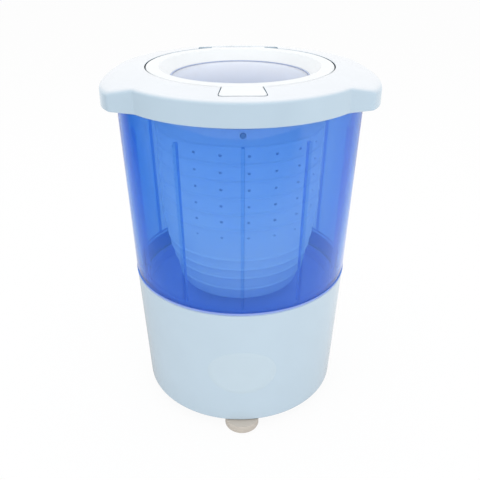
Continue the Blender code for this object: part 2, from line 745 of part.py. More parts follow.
def cover_rings():
    """Sections of the cover, up its outside, over the top and back down its inside."""

    def flat(inset, height):
        return [(x, y, height) for x, y in cover_outline(inset)]

    def under_top(inset, drop):
        return [(x, y, cover_height(math.hypot(x, y)) - drop) for x, y in cover_outline(inset)]

    def circle(radius, height):
        outline = cover_outline(0.0)
        return [(x * radius / math.hypot(x, y), y * radius / math.hypot(x, y), height) for x, y in outline]

    rings = [flat(0.0, COVER_Z)]
    edge_centre = (COVER_EDGE_ROUND, -COVER_EDGE_ROUND)
    for inset, height in arc(edge_centre, COVER_EDGE_ROUND, 180.0, 90.0, EDGE_STEPS):
        rings.append(under_top(inset, -height))
    shoulder = COVER_RADIUS * SHOULDER_SHARE
    rings.append(under_top(EAR_CORNER - EAR_CORNER_LEAST, 0.0))
    rings.append(circle(shoulder, cover_height(shoulder)))
    well_radius = RECESS_RADIUS + COVER_WALL
    rings.append(circle(RECESS_RADIUS, LID_Z))
    rings.append(circle(RECESS_RADIUS, COVER_LEDGE_Z))
    rings.append(circle(THROAT_RADIUS, COVER_LEDGE_Z))
    rings.append(circle(THROAT_RADIUS, COVER_LEDGE_BOTTOM_Z))
    rings.append(circle(well_radius, COVER_LEDGE_BOTTOM_Z))
    rings.append(circle(well_radius, cover_height(well_radius) - COVER_WALL))
    rings.append(under_top(COVER_WALL + COVER_EDGE_ROUND, COVER_WALL))
    rings.append(under_top(COVER_WALL, COVER_WALL + COVER_EDGE_ROUND))
    rings.append(flat(COVER_WALL, COVER_Z))
    return rings


def tab_reach():
    """How far the lid's lift tab stands out from its rim."""
    return TAB_REACH_SHARE * (COVER_RADIUS - LID_RADIUS)


def tab_outline(growth, front_growth, back_radius):
    """The lift tab from above: wider at its round-cornered front, grown all round for its well."""
    back_y = -back_radius
    front_y = -(LID_RADIUS + tab_reach()) - front_growth
    back = TAB_BACK_HALF_WIDTH + growth
    front = TAB_FRONT_HALF_WIDTH + growth
    right = arc((front - TAB_CORNER, front_y + TAB_CORNER), TAB_CORNER, -90.0, 0.0, CORNER_STEPS)
    outline = right + [(back, back_y)]
    return outline + [(-x, y) for x, y in outline[::-1]]


def make_top_cover():
    cover = loft("top_cover", cover_rings(), PALE_BLUE)
    join(cover, hinge_well(), tab_well(COVER_WALL, "tab_well", LID_Z - TAB_WELL_DEPTH - COVER_WALL))
    cut(cover, hinge_pocket(), hinge_bore("cover_hinge_bore", HINGE_PIN_RADIUS + GAP))
    cut(cover, tab_recess(), tongue_slot(), switch_hole())


def hinge_well():
    """Walls round the hinge pocket, under the cover's top."""
    half = POCKET_WIDTH / 2 + COVER_WALL
    back = POCKET_BACK_Y + COVER_WALL
    front = THROAT_RADIUS + LID_CLEARANCE
    inner = RECESS_RADIUS + COVER_WALL / 2
    floor = COVER_LEDGE_BOTTOM_Z
    side = [
        (front, floor),
        (back, floor),
        (back, cover_height(math.hypot(back, half)) - COVER_WALL / 4),
        (inner, cover_height(math.hypot(inner, half)) - COVER_WALL / 4),
        (inner, COVER_LEDGE_Z - LEDGE_PLATE / 2),
        (front, COVER_LEDGE_Z - LEDGE_PLATE / 2),
    ]
    place = Matrix.Translation((-half, 0.0, 0.0)) @ upright_in_yz()
    return prism("hinge_well", side, 2 * half, place)


def upright_in_yz():
    """Turns an outline's X, Y and Z onto the part's Y, Z and X."""
    return Matrix(((0, 0, 1, 0), (1, 0, 0, 0), (0, 1, 0, 0), (0, 0, 0, 1)))


def hinge_pocket():
    """Room for the knuckles, deeper behind the rim than over the ledge."""
    half = POCKET_WIDTH / 2
    barrel_front = HINGE_Y - KNUCKLE_RADIUS - POCKET_CLEARANCE
    rim_back = math.sqrt(RECESS_RADIUS**2 - half**2) - LID_CLEARANCE
    side = [
        (barrel_front, POCKET_FLOOR_Z),
        (POCKET_BACK_Y, POCKET_FLOOR_Z),
        (POCKET_BACK_Y, LID_Z + OVERRUN),
        (rim_back, LID_Z + OVERRUN),
        (rim_back, LID_BOTTOM_Z - GAP),
        (barrel_front, LID_BOTTOM_Z - GAP),
    ]
    place = Matrix.Translation((-half, 0.0, 0.0)) @ upright_in_yz()
    return prism("hinge_pocket", side, 2 * half, place)


def hinge_bore(name, radius):
    half = POCKET_WIDTH / 2 + COVER_WALL + OVERRUN
    return rod(name, (-half, HINGE_Y, HINGE_Z), (half, HINGE_Y, HINGE_Z), radius)


def tab_well(growth, name, floor):
    """A block of the tab's outline, grown, from a floor up to just inside the cover's top."""
    place = Matrix.Translation((0.0, 0.0, floor))
    reach = LID_RADIUS + tab_reach() + TAB_FINGER_GAP + growth
    corner = math.hypot(reach, TAB_FRONT_HALF_WIDTH)
    top = cover_height(corner) - COVER_WALL / 4
    outline = tab_outline(growth + TAB_SIDE_CLEARANCE, growth + TAB_FINGER_GAP, RECESS_RADIUS)
    return prism(name, outline, top - floor, place)


def tab_root_radius():
    """Where the tab starts, inside the solid part of the lid's rim."""
    return LID_RADIUS - LID_CLEARANCE - TAB_THICKNESS


def tab_recess():
    floor = LID_Z - TAB_WELL_DEPTH
    place = Matrix.Translation((0.0, 0.0, floor))
    outline = tab_outline(TAB_SIDE_CLEARANCE, TAB_FINGER_GAP, tab_root_radius())
    return prism("tab_recess", outline, TAB_WELL_DEPTH + OVERRUN, place)


def tongue_y():
    return -(LID_RADIUS - TONGUE_INSET)


def tongue_slot():
    half = TONGUE_WIDTH / 2 + TONGUE_INNER_CLEARANCE
    middle = tongue_y()
    low = (-half, middle - TONGUE_THICKNESS / 2 - TONGUE_OUTER_CLEARANCE, COVER_LEDGE_BOTTOM_Z - OVERRUN)
    high = (half, middle + TONGUE_THICKNESS / 2 + TONGUE_INNER_CLEARANCE, COVER_LEDGE_Z + OVERRUN)
    return box("tongue_slot", low, high)


def switch_place(height):
    return on_circle(LID_RADIUS - SWITCH_INSET, SWITCH_ANGLE, height)


def switch_hole():
    low = switch_place(COVER_LEDGE_BOTTOM_Z - OVERRUN)
    high = switch_place(COVER_LEDGE_Z + OVERRUN)
    return rod("switch_hole", low, high, PLUNGER_RADIUS + PLUNGER_CLEARANCE)


def make_lid_ring():
    """The lid's moulded rim, with its slope to the window, lift tab, tongue and knuckles."""
    rim = LID_RADIUS - LID_RIM_WIDTH
    sight = window_sight_radius()
    groove_outer = gasket_radius() + GAP
    groove_inner = gasket_radius() - GASKET_WIDTH - GAP
    groove_z = COVER_LEDGE_Z + GAP + GASKET_DEPTH + GAP
    ring = turned(
        "lid_ring",
        [
            (LID_RADIUS - LID_EDGE_ROUND, LID_Z),
            (LID_RADIUS, LID_Z - LID_EDGE_ROUND),
            (LID_RADIUS, LID_BOTTOM_Z),
            (groove_outer, LID_BOTTOM_Z),
            (groove_outer, groove_z),
            (groove_inner, groove_z),
            (groove_inner, LID_BOTTOM_Z),
            (sight + WINDOW_FLANGE, LID_BOTTOM_Z),
            (sight + WINDOW_FLANGE, window_seat_z()),
            (sight, window_seat_z()),
            (sight, window_seat_z() + WINDOW_LIP),
            (rim, LID_Z - LID_SEAT),
            (rim + LID_SEAT, LID_Z),
        ],
        WHITE,
    )
    middle = tongue_y()
    half = TONGUE_WIDTH / 2
    tongue_low = (-half, middle - TONGUE_THICKNESS / 2, LID_BOTTOM_Z - TONGUE_LENGTH)
    tongue_high = (half, middle + TONGUE_THICKNESS / 2, LID_BOTTOM_Z + TONGUE_THICKNESS)
    join(ring, lid_tab(), box("lid_tongue", tongue_low, tongue_high))
    for side, name in ((-1, "left"), (1, "right")):
        join(ring, *knuckle(side, name))
    cut(ring, hinge_bore("knuckle_bore", HINGE_PIN_RADIUS + GAP))
    return ring


def window_sight_radius():
    return LID_RADIUS - LID_RIM_WIDTH - LID_SLOPE_WIDTH


def window_seat_z():
    """Height of the shoulder that the window's flange comes up against."""
    return LID_Z - LID_SLOPE_DEPTH - WINDOW_LIP


def gasket_radius():
    return LID_RADIUS - GASKET_INSET + GASKET_WIDTH / 2


def lid_tab():
    """The lift tab, a plate that slopes from the rim to just above the cover's top."""
    root = tab_root_radius()
    front = LID_RADIUS + tab_reach()
    front_z = cover_height(front) + TAB_PROUD
    tilt = math.atan2(LID_Z - GAP - front_z, front - root)
    bend = Vector((0.0, -root, LID_Z - GAP - TAB_THICKNESS))
    place = Matrix.Translation(bend) @ Matrix.Rotation(tilt, 4, "X")
    place = place @ Matrix.Translation((0.0, root, 0.0))
    return prism("lid_tab", tab_outline(0.0, 0.0, root), TAB_THICKNESS, place)


def knuckle(side, name):
    """A barrel round the hinge pin and the web that carries it, to be joined to the rim."""
    inner = KNUCKLE_SPACING / 2 - KNUCKLE_WIDTH / 2
    outer = KNUCKLE_SPACING / 2 + KNUCKLE_WIDTH / 2
    low_x = min(side * inner, side * outer)
    high_x = max(side * inner, side * outer)
    barrel = rod(
        f"barrel_{name}", (low_x, HINGE_Y, HINGE_Z), (high_x, HINGE_Y, HINGE_Z), KNUCKLE_RADIUS
    )
    web_y = math.sqrt((LID_RADIUS - LID_EDGE_ROUND) ** 2 - outer**2)
    web_top = HINGE_Z + KNUCKLE_RADIUS * math.cos(math.pi / SMALL_SEGMENTS) - GAP
    web = box(f"web_{name}", (low_x, web_y, LID_BOTTOM_Z), (high_x, HINGE_Y, web_top))
    return barrel, web


def make_lid_window():
    """A shallow clear dome with a flange that seats under the rim's lip."""
    sight = window_sight_radius() - WINDOW_CLEARANCE
    flange = window_sight_radius() + WINDOW_FLANGE - WINDOW_CLEARANCE
    seat = window_seat_z() - GAP
    dome = []
    for step in range(WINDOW_STEPS + 1):
        share = step / WINDOW_STEPS
        dome.append((share * sight, seat + WINDOW_CROWN * (1.0 - share**2)))
    under = [(radius, height - WINDOW_WALL) for radius, height in dome[::-1]]
    rim = [(flange, seat), (flange, seat - WINDOW_WALL)]
    return turned("lid_window", dome + rim + under, CLEAR, INNER_SEGMENTS)


def make_lid_gasket():
    low = COVER_LEDGE_Z + GAP
    high = low + GASKET_DEPTH
    outer = gasket_radius()
    inner = outer - GASKET_WIDTH
    profile = [(outer, high), (outer, low), (inner, low), (inner, high)]
    return turned("lid_gasket", profile, BLACK_RUBBER)


def make_lid():
    """The lid's pieces, carried by an empty on the hinge's axis."""
    hinge = axis_empty("lid_hinge_axis", (0.0, HINGE_Y, HINGE_Z))
    carry(hinge, make_lid_ring(), make_lid_window(), make_lid_gasket())
    half = POCKET_WIDTH / 2 + COVER_WALL - GAP
    rod("lid_hinge_pin", (-half, HINGE_Y, HINGE_Z), (half, HINGE_Y, HINGE_Z), HINGE_PIN_RADIUS, STEEL)


def axis_empty(name, place):
    empty = bpy.data.objects.new(name, None)
    empty.location = place
    PARTS.objects.link(empty)
    bpy.context.view_layer.update()
    return empty


def carry(empty, *pieces):
    for piece in pieces:
        piece.parent = empty
        piece.matrix_parent_inverse = empty.matrix_world.inverted()


def make_catch_clip():
    """A bent spring clip under the cover's ledge, whose jaws stand each side of the tongue."""
    inner = tongue_y() + TONGUE_THICKNESS / 2 + TONGUE_INNER_CLEARANCE
    outer = tongue_y() - TONGUE_THICKNESS / 2 - TONGUE_OUTER_CLEARANCE
    top = COVER_LEDGE_BOTTOM_Z - GAP
    bottom = top - CATCH_DEPTH
    outline = [
        (outer - CATCH_WALL, top),
        (outer - CATCH_WALL, bottom),
        (inner + CATCH_WALL, bottom),
        (inner + CATCH_WALL, top),
        (inner, top),
        (inner, bottom + CATCH_WALL),
        (outer, bottom + CATCH_WALL),
        (outer, top),
    ]
    place = Matrix.Translation((-CATCH_WIDTH / 2, 0.0, 0.0)) @ upright_in_yz()
    prism("catch_clip", outline, CATCH_WIDTH, place, STEEL)


def make_lid_switch():
    """The safety switch under the ledge, and the plunger that the closed lid holds down."""
    top = COVER_LEDGE_BOTTOM_Z - GAP
    plunger_top = LID_BOTTOM_Z - GAP
    plunger_bottom = plunger_top - PLUNGER_LENGTH
    half_width = SWITCH_WIDTH / 2
    half_breadth = SWITCH_BREADTH / 2
    outline = [
        (-half_breadth, -half_width),
        (half_breadth, -half_width),
        (half_breadth, half_width),
        (-half_breadth, half_width),
    ]
    turn = Matrix.Rotation(math.radians(SWITCH_ANGLE), 4, "Z")
    place = Matrix.Translation(switch_place(top - SWITCH_HEIGHT)) @ turn
    body = prism("lid_switch", outline, SWITCH_HEIGHT, place, GREY_PLASTIC)
    bore = rod(
        "plunger_bore",
        switch_place(plunger_bottom - PLUNGER_CLEARANCE),
        switch_place(top + OVERRUN),
        PLUNGER_RADIUS + PLUNGER_CLEARANCE,
    )
    cut(body, bore)
    plunger = rod(
        "switch_plunger", switch_place(plunger_bottom), switch_place(plunger_top), PLUNGER_RADIUS, WHITE
    )
    carry(axis_empty("plunger_axis", switch_place(plunger_top)), plunger)


def make_throat_collar():
    """A tapered guard from the cover's throat down to the drum's mouth."""
    outer = THROAT_RADIUS + COLLAR_FLANGE
    bottom_radius = THROAT_RADIUS - COLLAR_TAPER
    turned(
        "throat_collar",
        [
            (outer, COLLAR_TOP_Z),
            (outer, COLLAR_TOP_Z - COLLAR_WALL),
            (THROAT_RADIUS, COLLAR_TOP_Z - COLLAR_WALL),
            (bottom_radius, COLLAR_Z),
            (bottom_radius - COLLAR_WALL, COLLAR_Z),
            (THROAT_RADIUS - COLLAR_WALL, COLLAR_TOP_Z),
        ],
        PALE_BLUE,
        INNER_SEGMENTS,
    )


def drum_radius(height):
    """Outer radius of the drum: near upright above, then a bowl down to its floor."""
    share = (height - DRUM_Z) / (DRUM_TOP_Z - DRUM_Z)
    table = list(zip(DRUM_HEIGHT_SHARES, DRUM_RADIUS_SHARES))
    for (upper, upper_radius), (lower, lower_radius) in zip(table, table[1:]):
        if share >= lower:
            along = (share - lower) / (upper - lower)
            return DRUM_TOP_RADIUS * (lower_radius + (upper_radius - lower_radius) * along)
    return DRUM_TOP_RADIUS * DRUM_RADIUS_SHARES[-1]


def drum_heights(shares):
    return [DRUM_Z + (DRUM_TOP_Z - DRUM_Z) * share for share in shares]


def bead_heights():
    """Heights of the ring beads: an even row on the wall and a few more round the bowl."""
    first = DRUM_TOP_Z - BEAD_START
    return [first - BEAD_PITCH * index for index in range(BEAD_COUNT)] + drum_heights(BOWL_BEAD_SHARES)


def make_drum():
    """A turned drum wall with raised ring beads and rows of holes between them."""
    outside = [(drum_radius(height), height) for height in drum_heights(DRUM_HEIGHT_SHARES)]
    inside = [(radius - DRUM_WALL, height) for radius, height in outside[::-1]]
    floor_top = DRUM_Z + DRUM_WALL
    inside[0] = (drum_radius(floor_top) - DRUM_WALL, floor_top)
    for height in bead_heights():
        for rise, proud in ((1, 0.0), (0, BEAD_PROUD), (-1, 0.0)):
            level = height + rise * BEAD_BREADTH / 2
            outside.append((drum_radius(level) + proud, level))
    outside.sort(key=lambda point: -point[1])
    hole = HUB_BOSS_RADIUS + GAP
    floor = [(hole, DRUM_Z), (hole, floor_top)]
    drum = turned("drum", outside + floor + inside, DRUM_WHITE, DRUM_SEGMENTS)
    cut(drum, drum_holes())


def drum_holes():
    """Rows of drain holes, one below each bead of the wall, as one cutter."""
    first = DRUM_TOP_Z - BEAD_START - BEAD_PITCH / 2
    rows = [first - BEAD_PITCH * row for row in range(BEAD_COUNT)]
    facet = math.tau / DRUM_SEGMENTS
    bm = bmesh.new()
    for height in rows:
        for column in range(HOLE_COLUMNS):
            turn = Matrix.Rotation(math.tau * column / HOLE_COLUMNS + facet / 2, 4, "Z")
            place = turn @ Matrix.Translation((drum_radius(height), 0.0, height))
            place = place @ Matrix.Rotation(math.pi / 2, 4, "Y")
            bmesh.ops.create_cone(
                bm,
                cap_ends=True,
                segments=HOLE_SIDES,
                radius1=HOLE_RADIUS,
                radius2=HOLE_RADIUS,
                depth=DRUM_WALL + 2 * OVERRUN,
                matrix=place,
            )
    return add_object("drum_holes", mesh_from(bm, "drum_holes"))


def make_drum_rim():
    """A balance ring seated in the drum's mouth, with a lip over the wall's edge."""
    seat = DRUM_TOP_RADIUS - DRUM_WALL - GAP
    top = DRUM_TOP_Z + GAP + RIM_LIP
    profile = [
        (DRUM_TOP_RADIUS, top),
        (DRUM_TOP_RADIUS, DRUM_TOP_Z + GAP),
        (seat, DRUM_TOP_Z + GAP),
        (seat - GAP, DRUM_TOP_Z - RIM_HEIGHT),
        (seat - RIM_WIDTH, DRUM_TOP_Z - RIM_HEIGHT),
        (seat - RIM_WIDTH, top),
    ]
    turned("drum_rim", profile, DRUM_WHITE, INNER_SEGMENTS)


def make_drum_drive():
    """The hub under the drum's floor, the shaft through it and the nut that holds them."""
    hub = [
        (HUB_BOSS_RADIUS, HUB_TOP_Z),
        (HUB_BOSS_RADIUS, HUB_Z + HUB_THICKNESS),
        (HUB_RADIUS, HUB_Z + HUB_THICKNESS),
        (HUB_RADIUS, HUB_Z),
        (SHAFT_BORE, HUB_Z),
        (SHAFT_BORE, HUB_TOP_Z),
    ]
    turned("drum_hub", hub, CAST_ALUMINIUM, SMALL_SEGMENTS)
    nut_z = HUB_TOP_Z + GAP
    shaft_top = nut_z + SHAFT_ENGAGEMENT
    nut = [
        (0.0, nut_z + NUT_HEIGHT),
        (NUT_RADIUS - NUT_DOME, nut_z + NUT_HEIGHT),
        (NUT_RADIUS, nut_z + NUT_HEIGHT - NUT_DOME),
        (NUT_RADIUS, nut_z),
        (SHAFT_BORE, nut_z),
        (SHAFT_BORE, shaft_top + GAP),
        (0.0, shaft_top + GAP),
    ]
    turned("hub_nut", nut, WHITE, SMALL_SEGMENTS)
    shaft_bottom = LOWER_CAP_Z - SHAFT_TAIL
    rod("drive_shaft", (0.0, 0.0, shaft_bottom), (0.0, 0.0, shaft_top), SHAFT_RADIUS, STEEL)


def make_bearing_housing():
    """A flanged housing on the motor's top, with a bearing pocket at each end."""
    pocket = BEARING_RADIUS + GAP
    shoulder = BEARING_RADIUS - HOUSING_LIP
    depth = BEARING_HEIGHT + GAP
    profile = [
        (HOUSING_RADIUS, HOUSING_TOP_Z),
        (HOUSING_RADIUS, HOUSING_Z + HOUSING_FLANGE),
        (HOUSING_FLANGE_RADIUS, HOUSING_Z + HOUSING_FLANGE),
        (HOUSING_FLANGE_RADIUS, HOUSING_Z),
        (pocket, HOUSING_Z),
        (pocket, HOUSING_Z + depth),
        (shoulder, HOUSING_Z + depth),
        (shoulder, HOUSING_TOP_Z - depth),
        (pocket, HOUSING_TOP_Z - depth),
        (pocket, HOUSING_TOP_Z),
    ]
    turned("bearing_housing", profile, CAST_ALUMINIUM, SMALL_SEGMENTS)
    bearing("lower_bearing", HOUSING_Z)
    bearing("upper_bearing", HOUSING_TOP_Z - BEARING_HEIGHT)


def bearing(name, bottom):
    top = bottom + BEARING_HEIGHT
    profile = [
        (BEARING_RADIUS, top),
        (BEARING_RADIUS, bottom),
        (SHAFT_BORE, bottom),
        (SHAFT_BORE, top),
    ]
    turned(name, profile, STEEL, SMALL_SEGMENTS)


def make_shaft_seal():
    """A rubber sleeve that hooks over the floor's lip and hugs the bearing housing."""
    housing = HOUSING_RADIUS + GAP
    lip = FLOOR_HOLE_RADIUS + FLOOR_WALL + GAP
    web_z = SEAL_TOP_Z - SEAL_WALL
    floor_z = FLOOR_CENTRE_Z + FLOOR_WALL + GAP
    profile = [
        (lip + SEAL_WALL, SEAL_TOP_Z),
        (lip + SEAL_WALL, floor_z),
        (lip, floor_z),
        (lip, web_z),
        (housing + SEAL_WALL, web_z),
        (housing + SEAL_WALL, web_z - SEAL_LEG),
        (housing, web_z - SEAL_LEG),
        (housing, SEAL_TOP_Z),
    ]
    turned("shaft_seal", profile, BLACK_RUBBER, INNER_SEGMENTS)


def make_motor():
    make_motor_mounts()
    make_motor_plate()
    make_motor_caps()
    make_stator()
    rotor = [
        (ROTOR_RADIUS, STATOR_Z + STATOR_HEIGHT),
        (ROTOR_RADIUS, STATOR_Z),
        (SHAFT_BORE, STATOR_Z),
        (SHAFT_BORE, STATOR_Z + STATOR_HEIGHT),
    ]
    turned("motor_rotor", rotor, LAMINATED_STEEL, SMALL_SEGMENTS)
    height = PLATE_TOP_Z + GAP + CAPACITOR_RADIUS
    half = CAPACITOR_LENGTH / 2
    left = (-half, -CAPACITOR_OFFSET, height)
    right = (half, -CAPACITOR_OFFSET, height)
    rod("run_capacitor", left, right, CAPACITOR_RADIUS, GREY_PLASTIC)


def make_motor_mounts():
    """Waisted rubber mounts between the bottom plate's bosses and the motor plate."""
    top = MOUNT_Z + MOUNT_HEIGHT
    middle = MOUNT_Z + MOUNT_HEIGHT / 2
    profile = [
        (0.0, top),
        (MOUNT_RADIUS, top),
        (MOUNT_RADIUS - MOUNT_WAIST, middle),
        (MOUNT_RADIUS, MOUNT_Z),
        (0.0, MOUNT_Z),
    ]
    names = ("motor_mount_rear", "motor_mount_left", "motor_mount_right")
    for name, angle in zip(names, MOUNT_ANGLES):
        turned(name, profile, BLACK_RUBBER, SMALL_SEGMENTS, on_circle(MOUNT_CIRCLE, angle))


def make_motor_plate():
    top = MOTOR_PLATE_Z + MOTOR_PLATE_THICKNESS
    plate = disc("motor_plate", MOTOR_PLATE_Z, top, MOTOR_PLATE_RADIUS, STEEL)
    cut(plate, disc("motor_plate_hole", MOTOR_PLATE_Z - OVERRUN, top + OVERRUN, MOTOR_PLATE_HOLE))


def make_motor_caps():
    """Cup-shaped end shields, open towards the stator."""
    for name, closed_z, open_z in (
        ("motor_lower_cap", LOWER_CAP_Z, LOWER_CAP_Z + CAP_HEIGHT),
        ("motor_upper_cap", UPPER_CAP_Z + CAP_HEIGHT, UPPER_CAP_Z),
    ):
        inner_z = closed_z + math.copysign(MOTOR_WALL, open_z - closed_z)
        profile = [
            (MOTOR_RADIUS, closed_z),
            (MOTOR_RADIUS, open_z),
            (MOTOR_RADIUS - MOTOR_WALL, open_z),
            (MOTOR_RADIUS - MOTOR_WALL, inner_z),
            (SHAFT_BORE, inner_z),
            (SHAFT_BORE, closed_z),
        ]
        turned(name, profile, CAST_ALUMINIUM, SMALL_SEGMENTS)


def make_stator():
    """A laminated core with its windings standing out of both ends."""
    top = STATOR_Z + STATOR_HEIGHT
    outer = MOTOR_RADIUS - WINDING_INSET
    profile = [
        (outer, top + WINDING_HEIGHT),
        (outer, top),
        (MOTOR_RADIUS, top),
        (MOTOR_RADIUS, STATOR_Z),
        (outer, STATOR_Z),
        (outer, STATOR_Z - WINDING_HEIGHT),
        (STATOR_BORE, STATOR_Z - WINDING_HEIGHT),
        (STATOR_BORE, top + WINDING_HEIGHT),
    ]
    turned("motor_stator", profile, LAMINATED_STEEL, SMALL_SEGMENTS)


def make_parts():
    make_base_shell()
    make_bottom_plate()
    make_feet()
    make_tub()
    make_tub_floor()
    make_tub_seal()
    make_drain_spout()
    make_cord_gland()
    make_top_cover()
    make_throat_collar()
    make_lid()
    make_catch_clip()
    make_lid_switch()
    make_drum()
    make_drum_rim()
    make_drum_drive()
    make_bearing_housing()
    make_shaft_seal()
    make_motor()


def shade_round_pieces():
    for obj in PARTS.objects:
        if obj.type == "MESH":
            obj.data.shade_smooth()
            obj.data.set_sharp_from_angle(angle=SHARP_ANGLE)


make_parts()
shade_round_pieces()
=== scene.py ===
"""Looks for a table-top spin dryer: clear blue tub, pale blue base and cover, white lid, perforated drum.

Metres, +Z up, the front faces -Y. Sizes are written in millimetres and scaled by MM.
"""

import math

import bmesh
import bpy
from mathutils import Matrix, Vector


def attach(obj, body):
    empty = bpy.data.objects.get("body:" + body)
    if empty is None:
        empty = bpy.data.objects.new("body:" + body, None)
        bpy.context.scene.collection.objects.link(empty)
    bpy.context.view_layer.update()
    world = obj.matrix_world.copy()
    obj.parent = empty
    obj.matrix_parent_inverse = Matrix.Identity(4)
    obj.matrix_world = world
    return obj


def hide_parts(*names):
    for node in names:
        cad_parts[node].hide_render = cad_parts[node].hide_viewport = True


MM = 0.001

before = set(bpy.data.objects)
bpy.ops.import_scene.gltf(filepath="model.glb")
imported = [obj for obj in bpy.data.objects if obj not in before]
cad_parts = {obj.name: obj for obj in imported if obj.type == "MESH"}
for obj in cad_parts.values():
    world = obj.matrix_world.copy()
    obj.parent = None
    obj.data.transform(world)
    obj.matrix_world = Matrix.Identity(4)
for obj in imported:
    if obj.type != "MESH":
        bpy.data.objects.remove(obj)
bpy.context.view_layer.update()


# Feet. Three round pucks of cream thermoplastic rubber, moulded in one with a barbed stem that is
# pushed through the bottom plate. A shallow cup underneath leaves a flat lip to stand on.
FOOT_RADIUS = 18.8
FOOT_TOP = 9.7
FOOT_EDGE = 1.6
FOOT_EDGE_SHARE = 0.3
FOOT_ROUND = 0.5
FOOT_STEPS = 64
FOOT_LIP = 4.0
FOOT_CUP = 2.0
FOOT_CIRCLE = 102.8
FOOT_PLACES = {"foot_front": -90.0, "foot_right": 30.0, "foot_left": 150.0}
STEM_RADIUS = 3.5
STEM_TOP = 15.9
BARB_HEIGHT = 13.3
BARB_RADIUS = 5.1
CREAM = "C5BDB3"
CLOUD_SIZE = 40.0
MOTTLE = 0.03
POLISH_DRIFT = 0.04
PLASTIC_IOR = 1.5


def linear(srgb_hex):
    """The linear colour of an sRGB hex value."""
    channels = [int(srgb_hex[i : i + 2], 16) / 255 for i in (0, 2, 4)]
    return (*(c / 12.92 if c <= 0.04045 else ((c + 0.055) / 1.055) ** 2.4 for c in channels), 1.0)


def add_node(tree, kind, settings=None, links=None):
    """Adds a node, sets its inputs or properties by name, and links its inputs to sockets."""
    node = tree.nodes.new(kind)
    for key, value in (settings or {}).items():
        if isinstance(key, int) or key in node.inputs:
            node.inputs[key].default_value = value
        else:
            setattr(node, key, value)
    for key, socket in (links or {}).items():
        tree.links.new(socket, node.inputs[key])
    return node


def new_material(name):
    """A bare material with its node tree and its output node."""
    material = bpy.data.materials.new(name)
    material.use_nodes = True
    material.node_tree.nodes.clear()
    output = material.node_tree.nodes.new("ShaderNodeOutputMaterial")
    return material, material.node_tree, output


def grain(tree, size_mm, detail=2.0, stretch=(1.0, 1.0, 1.0)):
    """A noise pattern from 0 to 1, in the piece's own place, whose grains are about the given size."""
    place = add_node(tree, "ShaderNodeTexCoord").outputs["Object"]
    mapping = add_node(tree, "ShaderNodeMapping", {"Scale": stretch}, {"Vector": place})
    settings = {"Scale": 1.0 / (size_mm * MM), "Detail": detail}
    noise = add_node(tree, "ShaderNodeTexNoise", settings, {"Vector": mapping.outputs["Vector"]})
    return noise.outputs["Fac"]


def mottled(tree, srgb_hex, cloud):
    """A colour that drifts a little lighter and darker with a cloud pattern."""
    base = linear(srgb_hex)
    darker = (*(channel * (1.0 - MOTTLE) for channel in base[:3]), 1.0)
    lighter = (*(min(1.0, channel * (1.0 + MOTTLE)) for channel in base[:3]), 1.0)
    shades = {"data_type": "RGBA", 6: darker, 7: lighter}
    return add_node(tree, "ShaderNodeMix", shades, {0: cloud}).outputs[2]


def moulded(name, srgb_hex, roughness, grain_mm=1.6, grain_height=0.006):
    """A moulded plastic or rubber: one colour with a faint mottle, and the mould's grain.

    The real grain is finer than half a millimetre. It is drawn coarser, so that it shows.
    """
    material, tree, output = new_material(name)
    cloud = grain(tree, CLOUD_SIZE)
    polish = {"To Min": roughness - POLISH_DRIFT, "To Max": roughness + POLISH_DRIFT}
    grains = grain(tree, grain_mm)
    relief = {"Distance": grain_height * MM}
    links = {
        "Base Color": mottled(tree, srgb_hex, cloud),
        "Roughness": add_node(tree, "ShaderNodeMapRange", polish, {"Value": cloud}).outputs["Result"],
        "Normal": add_node(tree, "ShaderNodeBump", relief, {"Height": grains}).outputs["Normal"],
    }
    surface = add_node(tree, "ShaderNodeBsdfPrincipled", {"IOR": PLASTIC_IOR}, links)
    tree.links.new(surface.outputs["BSDF"], output.inputs["Surface"])
    return material


def on_circle(radius, degrees, height):
    """A point on a circle round the axis, in millimetres."""
    return (radius * math.cos(math.radians(degrees)), radius * math.sin(math.radians(degrees)), height)


def turned(profile, steps, centre=(0.0, 0.0), start=0.0, closed=True):
    """A profile of (radius, height) points in millimetres, spun about an upright axis.

    A closed profile that stays off the axis is joined from its last point to its first.
    """
    bm = bmesh.new()
    verts = [bm.verts.new((r * MM, 0.0, z * MM)) for r, z in profile]
    edges = [bm.edges.new(pair) for pair in zip(verts, verts[1:])]
    if closed and min(profile[0][0], profile[-1][0]) > 0.0:
        edges.append(bm.edges.new((verts[-1], verts[0])))
    bmesh.ops.rotate(bm, verts=verts, cent=(0, 0, 0), matrix=Matrix.Rotation(math.radians(start), 3, "Z"))
    bmesh.ops.spin(
        bm,
        geom=verts + edges,
        cent=(0, 0, 0),
        axis=(0, 0, 1),
        angle=math.tau,
        steps=steps,
        use_merge=True,
    )
    bmesh.ops.remove_doubles(bm, verts=bm.verts, dist=0.001 * MM)
    bmesh.ops.translate(bm, verts=bm.verts, vec=(centre[0] * MM, centre[1] * MM, 0.0))
    bmesh.ops.recalc_face_normals(bm, faces=bm.faces)
    return bm


def soften(bm, radius, angle=40.0, segments=3):
    """Rounds every edge that turns by more than the angle."""
    sharp = [e for e in bm.edges if len(e.link_faces) == 2 and e.calc_face_angle(0.0) > math.radians(angle)]
    bmesh.ops.bevel(
        bm,
        geom=sharp,
        offset=radius * MM,
        offset_type="OFFSET",
        segments=segments,
        profile=0.5,
        affect="EDGES",
        material=-1,
        clamp_overlap=True,
    )
    return bm


def shape(name, bm):
    """An object from a bmesh, not yet part of the model."""
    mesh = bpy.data.meshes.new(name)
    bm.to_mesh(mesh)
    bm.free()
    obj = bpy.data.objects.new(name, mesh)
    bpy.context.scene.collection.objects.link(obj)
    return obj


